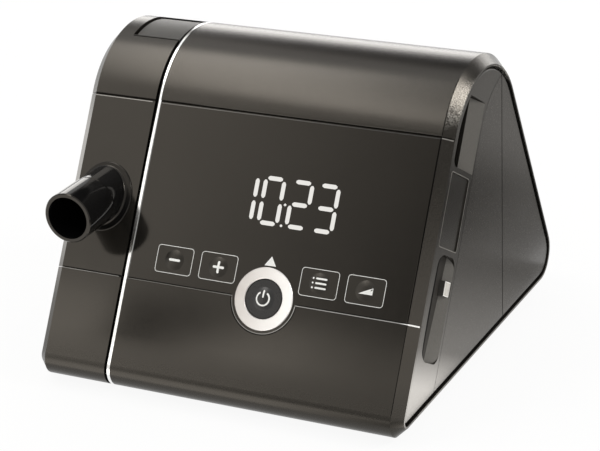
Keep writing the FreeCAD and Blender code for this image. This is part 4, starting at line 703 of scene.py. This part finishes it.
# ---- Start button and its ring: a domed round cap inside a satin silver ring.
# The ring is a plated moulding pressed into the pane; the sign is printed on the dome.
RING = (16.1, 51.9)
BUTTON_DOME = (4.9, 0.9)
BUTTON_PROUD = 0.25
SIGN_ARC = (2.5, 3.2, 32, 328, 40)
SIGN_STROKE = (3.3, 0.72)
SIGN_STROKE_RISE = 2.0
SIGN_STROKE_TIP = 0.3


def ring_painted_light(tree):
    """Painted light on the plating: duller on its left, brighter on its right, with slow changes of tone."""
    painted_light_and_tone = across(tree).between(0.002, 0.030) + speckle(tree, 0.006).between(0.3, 0.7) * 0.1
    return painted_light_and_tone.tint((0.49, 0.46, 0.435), (0.92, 0.91, 0.89))


silver = finish_of(
    "satin_silver", ring_painted_light,
    uneven(0.30, 0.08, 0.0009, 3.0),
    grain(0.0003, 3.0), 0.000004, Metallic=0.85)
dress(("button_ring",), silver)
button_plastic = finish_of(
    "button_plastic",
    mottled((0.0090, 0.0084, 0.0076), (0.0120, 0.0110, 0.0100), 0.008),
    uneven(0.26, 0.06, 0.0006, 3.0),
    grain(0.0003), 0.000003, Specular_IOR_Level=0.45)
dress(("power_button",), button_plastic)
power_sign = ribbon_piece(
    "power_sign",
    [arc(*RING, *SIGN_ARC),
     bar(RING[0], RING[1] + SIGN_STROKE_RISE, *SIGN_STROKE, True, SIGN_STROKE_TIP)],
    white_ink, on_dome(*RING, *BUTTON_DOME, BUTTON_PROUD))
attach(power_sign, "power_button")

# ---- Right end: two grained side panels and the smooth plug-in strip in front of them.
# Separate mouldings that sit inside the bevelled rim; the strip has three shallow recesses.
# The side section's end cap is grained like the panels.
panel_plastic = finish_of(
    "panel_plastic",
    mottled((0.010, 0.0092, 0.0080), (0.026, 0.0240, 0.0210), 0.0007, 4.0, 0.65, low=0.35, high=0.65),
    uneven(0.20, 0.08, 0.0006, 3.0),
    grain(0.0006, 4.0, 0.7), 0.000022, Specular_IOR_Level=0.5, Specular_Tint=WARM)
dress(("side_panel_front", "side_panel_rear", "section_end_cap"), panel_plastic)
strip_plastic = finish_of(
    "strip_plastic",
    mottled((0.012, 0.0110, 0.0096), (0.016, 0.0148, 0.0130), 0.02),
    uneven(0.20, 0.05, 0.0006, 3.0),
    grain(0.0004), 0.000003, Specular_IOR_Level=0.5, Specular_Tint=WARM)
dress(("side_strip",), strip_plastic)

# ---- Module pocket: the strip's lower recess, level by its front wall and ramped up behind.
# Moulded in the strip, with its floor eroded to a dull grain. Wafers paint shade on the floor by the front
# wall, and light on the ramp.
STRIP_FACE = 84.4


def on_strip(s, n, deep=0.0):
    """A point of the right end: s up the slope, n back from it, deep into the face, in millimetres."""
    return on_front(STRIP_FACE + LIFT - deep, s, -n)


def strip_piece(name, ribbons, material, deep=lambda s, n: 0.0):
    """A wafer on the strip, or at a depth in one of its recesses."""
    piece = ribbon_piece(name, ribbons, material, lambda s, n: on_strip(s, n, deep(s, n)),
                         Vector((1.0, 0.0, 0.0)))
    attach(piece, "machine")


POCKET = (38.0, 82.5)
POCKET_FRONT = 12.5
POCKET_BACK = 31.2
POCKET_DEEP = 2.9
POCKET_ROUND = 5.0
LEVEL_LOW = 10.2
LEVEL_HIGH = 15.3
POCKET_GAP = 0.05
SKIN_MARGIN = 0.1
POCKET_STEP = 0.7
SOCKET_ZONE = (66.2, 72.8)
SOCKET_FRONT = 24.6


def foot_of_ramp(s):
    """Where the ramp starts, behind the plane of the front slope."""
    return POCKET_FRONT + LEVEL_LOW + (LEVEL_HIGH - LEVEL_LOW) * (s - POCKET[0]) / (POCKET[1] - POCKET[0])


def pocket_deep(s, n):
    """Full depth up to the ramp's foot, and from there evenly less to the back edge."""
    return POCKET_DEEP * min(1.0, (POCKET_BACK - n) / (POCKET_BACK - foot_of_ramp(s)))


def corner_inset(s, low, high, r):
    """How far a rounded corner draws in an edge at the level s."""
    near = min(s - low, high - s)
    return r - math.sqrt(r * r - (r - near) ** 2) if near < r else 0.0


def pocket_rows(ramp):
    """Stretches of the floor or of the ramp, with the socket's place left out of the ramp."""
    stretches = []
    for start, end in ((POCKET[0] + SKIN_MARGIN, SOCKET_ZONE[0]), SOCKET_ZONE,
                       (SOCKET_ZONE[1], POCKET[1] - SKIN_MARGIN)):
        rows = []
        for s in spread(start, end, math.ceil((end - start) / POCKET_STEP)):
            inset = corner_inset(s, *POCKET, POCKET_ROUND)
            foot = foot_of_ramp(s)
            first = foot if ramp else POCKET_FRONT + inset + POCKET_GAP
            last = POCKET_BACK - inset - POCKET_GAP if ramp else foot
            if (start, end) == SOCKET_ZONE:
                last = min(last, SOCKET_FRONT)
            rows.append([(s, n) for n in spread(first, last, 3)])
        middle = rows[len(rows) // 2]
        if middle[-1][1] - middle[0][1] > SKIN_MARGIN:
            stretches.append(rows)
    return stretches


def set_back(tree):
    """How far a point lies behind the plane of the front slope, in metres."""
    return tree.node("VectorMath", {"operation": "DOT_PRODUCT"},
                     {0: in_place(tree), 1: tuple(-OUTWARD)}, "Value") + OUTWARD.dot(SLOPE_FOOT)


def pocket_colour(tree):
    """Black in the shade of the front wall, and a lighter grain behind it."""
    lit_part = set_back(tree).between(0.0196, 0.0206) + speckle(tree, 0.0006, 3.0) * 0.2
    return lit_part.tint((0.002, 0.0018, 0.0015), (0.024, 0.022, 0.0195))


# Painted shadow: the floor wafer is black by the front wall, with a lighter grain behind.
pocket_grain_painted_shade = finish_of(
    "pocket_grain_painted_shade", pocket_colour,
    uneven(0.55, 0.1, 0.0006, 3.0),
    grain(0.0004), 0.00001, Specular_IOR_Level=0.10)
# Painted light: the ramps are coloured much lighter than the strip, as if lit.
ramp_grain_painted_light = finish_of(
    "ramp_grain_painted_light",
    mottled((0.066, 0.062, 0.055), (0.095, 0.089, 0.079), 0.0006, 3.0),
    uneven(0.40, 0.1, 0.0006, 3.0),
    grain(0.0004), 0.00001, Specular_IOR_Level=0.35)
strip_piece("pocket_floor", pocket_rows(False), pocket_grain_painted_shade, pocket_deep)
strip_piece("pocket_ramp", pocket_rows(True), ramp_grain_painted_light, pocket_deep)

# ---- Finger recess and label field: the strip's upper and middle recesses.
# Both are moulded in the strip. A fingertip reaches the card down the ramp of the first, which is
# painted lighter as light; the field is left bare inside its raised rim, edged with a painted highlight.
FINGER = (118.35, 148.6)
FINGER_FOOT = 20.35
FINGER_BACK = 32.2
FINGER_DEEP = 2.55
GROOVE_END = 20.2
# The finger ramp carries the ramps' painted light.
strip_piece("finger_ramp",
            [[[(s, n) for n in spread(FINGER_FOOT, FINGER_BACK - SKIN_MARGIN, 3)]
              for s in spread(*FINGER, 6)]],
            ramp_grain_painted_light, lambda s, n: FINGER_DEEP * (FINGER_BACK - n) / (FINGER_BACK - GROOVE_END))
# Painted highlight along the label field's rim.
rim_painted_highlight = finish_of(
    "rim_painted_highlight",
    mottled((0.095, 0.090, 0.080), (0.150, 0.142, 0.128), 0.004),
    uneven(0.35, 0.1, 0.001, low=0.2, high=0.8))
LABEL_MIDDLE = (100.55, 19.35)
LABEL_HALF = (15.7, 10.9)
LABEL_CORNER = 1.5
LABEL_RIM = 0.4
strip_piece("label_rim_highlight", [rounded_line(*LABEL_MIDDLE, *LABEL_HALF, LABEL_CORNER, LABEL_RIM)], rim_painted_highlight)

# ---- Shaded edges: the module pocket's rounded lip, the creases where the bevel meets the front
# and the ridge, and the seam between the side panels. Narrow edges and grooves of the mouldings,
# which lie in shade.
seam_shade = finish_of(
    "seam_shade",
    mottled((0.0015, 0.0015, 0.0014), (0.0025, 0.0024, 0.0022), 0.002),
    uneven(0.7, 0.1, 0.002), Specular_IOR_Level=0.05)
LIP = 1.5
LIP_ENDS = (39.2, 81.6)
LIP_STEPS = 60
LIP_BLUNT = 0.4
LIP_OVERLAP = 0.04
lip_rows = []
for k, s in enumerate(spread(*LIP_ENDS, LIP_STEPS)):
    edge = POCKET_FRONT + corner_inset(s, *POCKET, POCKET_ROUND)
    swell = math.sin(math.pi * k / LIP_STEPS) ** LIP_BLUNT
    lip_rows.append([(s, edge - LIP * swell), (s, edge + LIP_OVERLAP)])
strip_piece("pocket_lip", [lip_rows], seam_shade)
CREASE = (80.5, 80.8)
CREASE_STEPS = 12
RIDGE_AXIS = Vector((0.0, 0.004937, 0.093658))
RIDGE_R = 0.04146


def on_ridge(x, s):
    """A point just above the ridge: x across and s forward of the ridge's top, in millimetres."""
    turn = s * 0.001 / RIDGE_R
    r = RIDGE_R + LIFT * 0.001
    return RIDGE_AXIS + Vector((x * 0.001, -r * math.sin(turn), r * math.cos(turn)))


for name, low, high, place in (("frame_crease", 52.3, 127.2, just_above),
                               ("shell_crease", 14.0, 50.9, just_above),
                               ("top_crease", 18.0, 44.6, on_ridge)):
    crease = ribbon_piece(name, [[[(x, s) for x in CREASE] for s in spread(low, high, CREASE_STEPS)]],
                          seam_shade, place)
    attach(crease, "machine")
SIDE_SEAM = (25.79, 26.31)
SIDE_SEAM_SPAN = (9.0, 123.1)
SIDE_SEAM_STEPS = 8


def on_panels(y, z):
    """A point just above the side panels, from millimetres."""
    return Vector((STRIP_FACE + LIFT, y, z)) * 0.001


seam_line = ribbon_piece(
    "panel_seam", [[[(y, z) for y in SIDE_SEAM] for z in spread(*SIDE_SEAM_SPAN, SIDE_SEAM_STEPS)]],
    seam_shade, on_panels, Vector((1.0, 0.0, 0.0)))
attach(seam_line, "machine")

# ---- Card and socket: the edge of a memory card in its slot, and the module's metal socket.
# The card is black plastic in a cage of tinned steel. The socket is folded from steel, painted dark
# as shade below its top, and holds a pale plastic insert.
card_plastic = finish_of(
    "card_plastic",
    mottled((0.016, 0.016, 0.017), (0.026, 0.026, 0.027), 0.002),
    uneven(0.42, 0.1, 0.0008))
dress(("memory_card", "led_block", "tact_switches"), card_plastic)
tinned = finish_of(
    "tinned_steel",
    mottled((0.62, 0.61, 0.59), (0.74, 0.73, 0.71), 0.0015, 4.0),
    uneven(0.24, 0.15, 0.0008, 4.0), Metallic=1.0)
dress(("card_socket", "board_spacers", "case_screws", "motor_shaft",
       "bearing_lower", "bearing_upper"), tinned)
# The socket's shell is painted dark below its top face: painted shade inside the pocket.
SOCKET_TOP = (0.08385, 0.08395)
socket_painted_shade = finish_of(
    "socket_steel_painted_shade",
    lambda tree: across(tree).between(*SOCKET_TOP).tint((0.070, 0.066, 0.060), (0.80, 0.79, 0.76)),
    uneven(0.30, 0.15, 0.0008, 4.0), Metallic=0.2)
dress(("module_socket",), socket_painted_shade)
SOCKET = (69.5, 27.9)
SOCKET_HALF = 2.55
SOCKET_SINK = 0.45
pale_plastic = finish_of(
    "pale_plastic",
    mottled((0.50, 0.48, 0.44), (0.62, 0.60, 0.56), 0.0015),
    uneven(0.35, 0.1, 0.001))
strip_piece("socket_insert",
            [[[(SOCKET[0] + SOCKET_HALF * k, SOCKET[1] + SOCKET_HALF * i) for i in (-1, 0, 1)]
              for k in (-1, 0, 1)]],
            pale_plastic, lambda s, n: SOCKET_SINK)

# ---- Trim strip: a polished bright moulding between the machine and its side section.
# Chromed plastic, clipped round the whole outline; its left edge by the gap is painted black as shade.
TRIM_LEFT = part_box("trim_strip")[0][0]


def unshaded_chrome(tree):
    """1 on the chrome, and 0 on its left edge, painted black as shade from the gap and wider over the ridge.
    """
    edge = from_to(across(tree, "Z"), 0.090, 0.112, 0.30, 0.75)
    return ((across(tree) - TRIM_LEFT) * 1000.0 - edge).between(-0.05, 0.05)


def trim_colour(tree):
    """Chrome with slow changes of tone, and black painted shade on its left edge."""
    shine = speckle(tree, 0.01).between(0.3, 0.7) * 0.05 + 0.95
    return (unshaded_chrome(tree) * shine).tint((0.02, 0.02, 0.02), (0.95, 0.95, 0.94))


bright = finish_of(
    "polished_trim", trim_colour,
    uneven(0.10, 0.04, 0.0015), Metallic=1.0)
dress(("trim_strip",), bright)

# ---- Air outlet: a straight 22 mm tube with a blended collar, on the side section's slope.
# Moulded in black and polished to a mirror gloss, so that a hose cuff seals on it.
def tube_roughness(tree):
    """Duller on the collar, and polished from where the tube stands clear of the slope."""
    return uneven(0.20, 0.02, 0.002)(tree) - set_back(tree).between(-0.002, -0.009) * 0.12


gloss_black = finish_of(
    "gloss_black",
    mottled((0.0030, 0.0030, 0.0032), (0.0045, 0.0045, 0.0048), 0.01),
    tube_roughness, Specular_IOR_Level=0.30, Specular_Tint=WARM)
dress(("outlet_tube",), gloss_black)

# ---- Release button: a grained cap let into the top of the side section.
# It is pressed down on a leaf spring to let the section slide off.
release_plastic = finish_of(
    "release_plastic",
    mottled((0.030, 0.028, 0.025), (0.062, 0.059, 0.053), 0.0008, 4.0, 0.7, low=0.35, high=0.65),
    uneven(0.45, 0.12, 0.0008, 3.0),
    grain(0.0007, 4.0, 0.7), 0.00007, Specular_IOR_Level=0.5)
dress(("release_button",), release_plastic)
# A dark wafer paints the shade in the gap at the button's front edge.
RELEASE_SEAM = (-73.6, -51.7)
RELEASE_EDGE = (13.9, 14.35)
release_seam = ribbon_piece(
    "release_seam", [[[(x, s) for s in spread(*RELEASE_EDGE, 2)] for x in spread(*RELEASE_SEAM, 6)]],
    seam_shade, on_ridge)
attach(release_seam, "side_section")

# ---- Release spring: a bowed leaf of spring steel under the release button.
# It stands loose on the elbow's saddle; it is built bowed and is not made to flatten under the button.
LEAF_THICK = 0.0005
LEAF_STEPS = 36
leaf_low, leaf_high = (Vector(corner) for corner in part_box("release_spring"))
leaf_r = (leaf_high.y - leaf_low.y) / 2
leaf_middle = leaf_high.z - leaf_r
leaf_start = math.asin((leaf_low.z - leaf_middle) / leaf_r)
points = []
for k in range(LEAF_STEPS + 1):
    angle = leaf_start + (math.pi - 2 * leaf_start) * k / LEAF_STEPS
    for r in (leaf_r, leaf_r - LEAF_THICK):
        foot = max(leaf_low.z, leaf_middle + r * math.sin(angle))
        points += [(x, leaf_low.y + leaf_r - r * math.cos(angle), foot) for x in (leaf_low.x, leaf_high.x)]
faces = []
for k in range(LEAF_STEPS):
    a = 4 * k
    faces += [(a, a + 4, a + 5, a + 1), (a + 2, a + 3, a + 7, a + 6), (a, a + 2, a + 6, a + 4),
              (a + 1, a + 5, a + 7, a + 3)]
last = 4 * LEAF_STEPS
faces += [(0, 1, 3, 2), (last, last + 2, last + 3, last + 1)]
leaf = mesh_piece("release_leaf", points, faces, tinned)
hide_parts("release_spring")
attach(leaf, "side_section")
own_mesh(leaf)

# ---- Inner walls, air box, duct and blower casing: plain mouldings behind the skin.
# Dark grey, as they leave the tool, screwed or clipped together.
inner_plastic = finish_of(
    "inner_plastic",
    mottled((0.055, 0.055, 0.057), (0.070, 0.070, 0.072), 0.01),
    uneven(0.48, 0.12, 0.001, 3.0),
    grain(0.0006, 3.0), 0.00002)
dress(("dock_wall", "section_wall", "outlet_elbow", "air_box", "air_box_lid", "intake_duct",
       "scroll_base", "scroll_cover", "impeller"), inner_plastic)

# ---- Back: the slotted filter cover, the filter behind it and the power inlet.
# The cover and the inlet are black mouldings; the filter is a white fibre pad.
cover_plastic = finish_of(
    "cover_plastic",
    mottled((0.014, 0.0135, 0.0125), (0.024, 0.023, 0.021), 0.0008, 3.0, low=0.35, high=0.65),
    uneven(0.44, 0.12, 0.0008, 3.0),
    grain(0.0005, 3.0), 0.00002)
dress(("filter_cover", "dc_inlet"), cover_plastic)
fibre = finish_of(
    "filter_fibre",
    mottled((0.55, 0.55, 0.52), (0.82, 0.82, 0.79), 0.0006, 5.0, 0.75),
    uneven(0.9, 0.05, 0.002),
    grain(0.0008, 5.0, 0.75), 0.0003)
dress(("air_filter",), fibre)

# ---- Underside and soft parts: rubber feet, port seal, bellows and hose.
# Black rubber and silicone, pressed into their recesses and grooves.
rubber = finish_of(
    "rubber",
    mottled((0.014, 0.014, 0.0145), (0.026, 0.026, 0.027), 0.0015, 3.0),
    uneven(0.72, 0.1, 0.001, 3.0),
    grain(0.0007, 3.0), 0.00003)
dress(("rubber_feet", "duct_seal", "blower_bellows", "outlet_hose"), rubber)

# ---- Boards: display board, main board and power board.
# Glass-fibre laminate with green solder mask over copper tracks.
mask = finish_of(
    "solder_mask",
    mottled((0.010, 0.095, 0.038), (0.016, 0.150, 0.060), 0.002, 4.0, low=0.42, high=0.58),
    uneven(0.28, 0.1, 0.001),
    grain(0.002, 4.0), 0.00003)
dress(("display_board", "main_board", "power_board"), mask)

# ---- Display block bars: the diffusing bars of the LED block behind the pane.
# Milky plastic let into the face of the block.
milky = finish_of(
    "milky_plastic",
    mottled((0.70, 0.71, 0.70), (0.78, 0.79, 0.77), 0.001),
    uneven(0.4, 0.1, 0.001))
dress(("digit_segments",), milky)

# ---- Blower motor: turned can, laminated stator and magnet ring.
# Aluminium can, varnished steel laminations, and a sintered magnet pressed on the shaft.
can_metal = finish_of(
    "turned_can",
    mottled((0.58, 0.58, 0.59), (0.66, 0.66, 0.67), 0.004),
    uneven(0.3, 0.12, 0.0006, 4.0), Metallic=1.0)
dress(("motor_housing", "motor_stator"), can_metal)
magnet = finish_of(
    "sintered_magnet",
    mottled((0.10, 0.10, 0.105), (0.17, 0.17, 0.18), 0.001, 4.0),
    uneven(0.45, 0.15, 0.001), Metallic=0.8)
dress(("motor_rotor",), magnet)

# ---- Muffler foam: two open-cell blocks in the air box.
# Cut from dark grey polyurethane sheet and laid in loose.
foam = finish_of(
    "muffler_foam",
    mottled((0.03, 0.03, 0.032), (0.14, 0.14, 0.145), 0.0012, 5.0, 0.8, low=0.35, high=0.65),
    uneven(0.92, 0.05, 0.002),
    grain(0.0012, 5.0, 0.8), 0.0008)
dress(("muffler_foam",), foam)
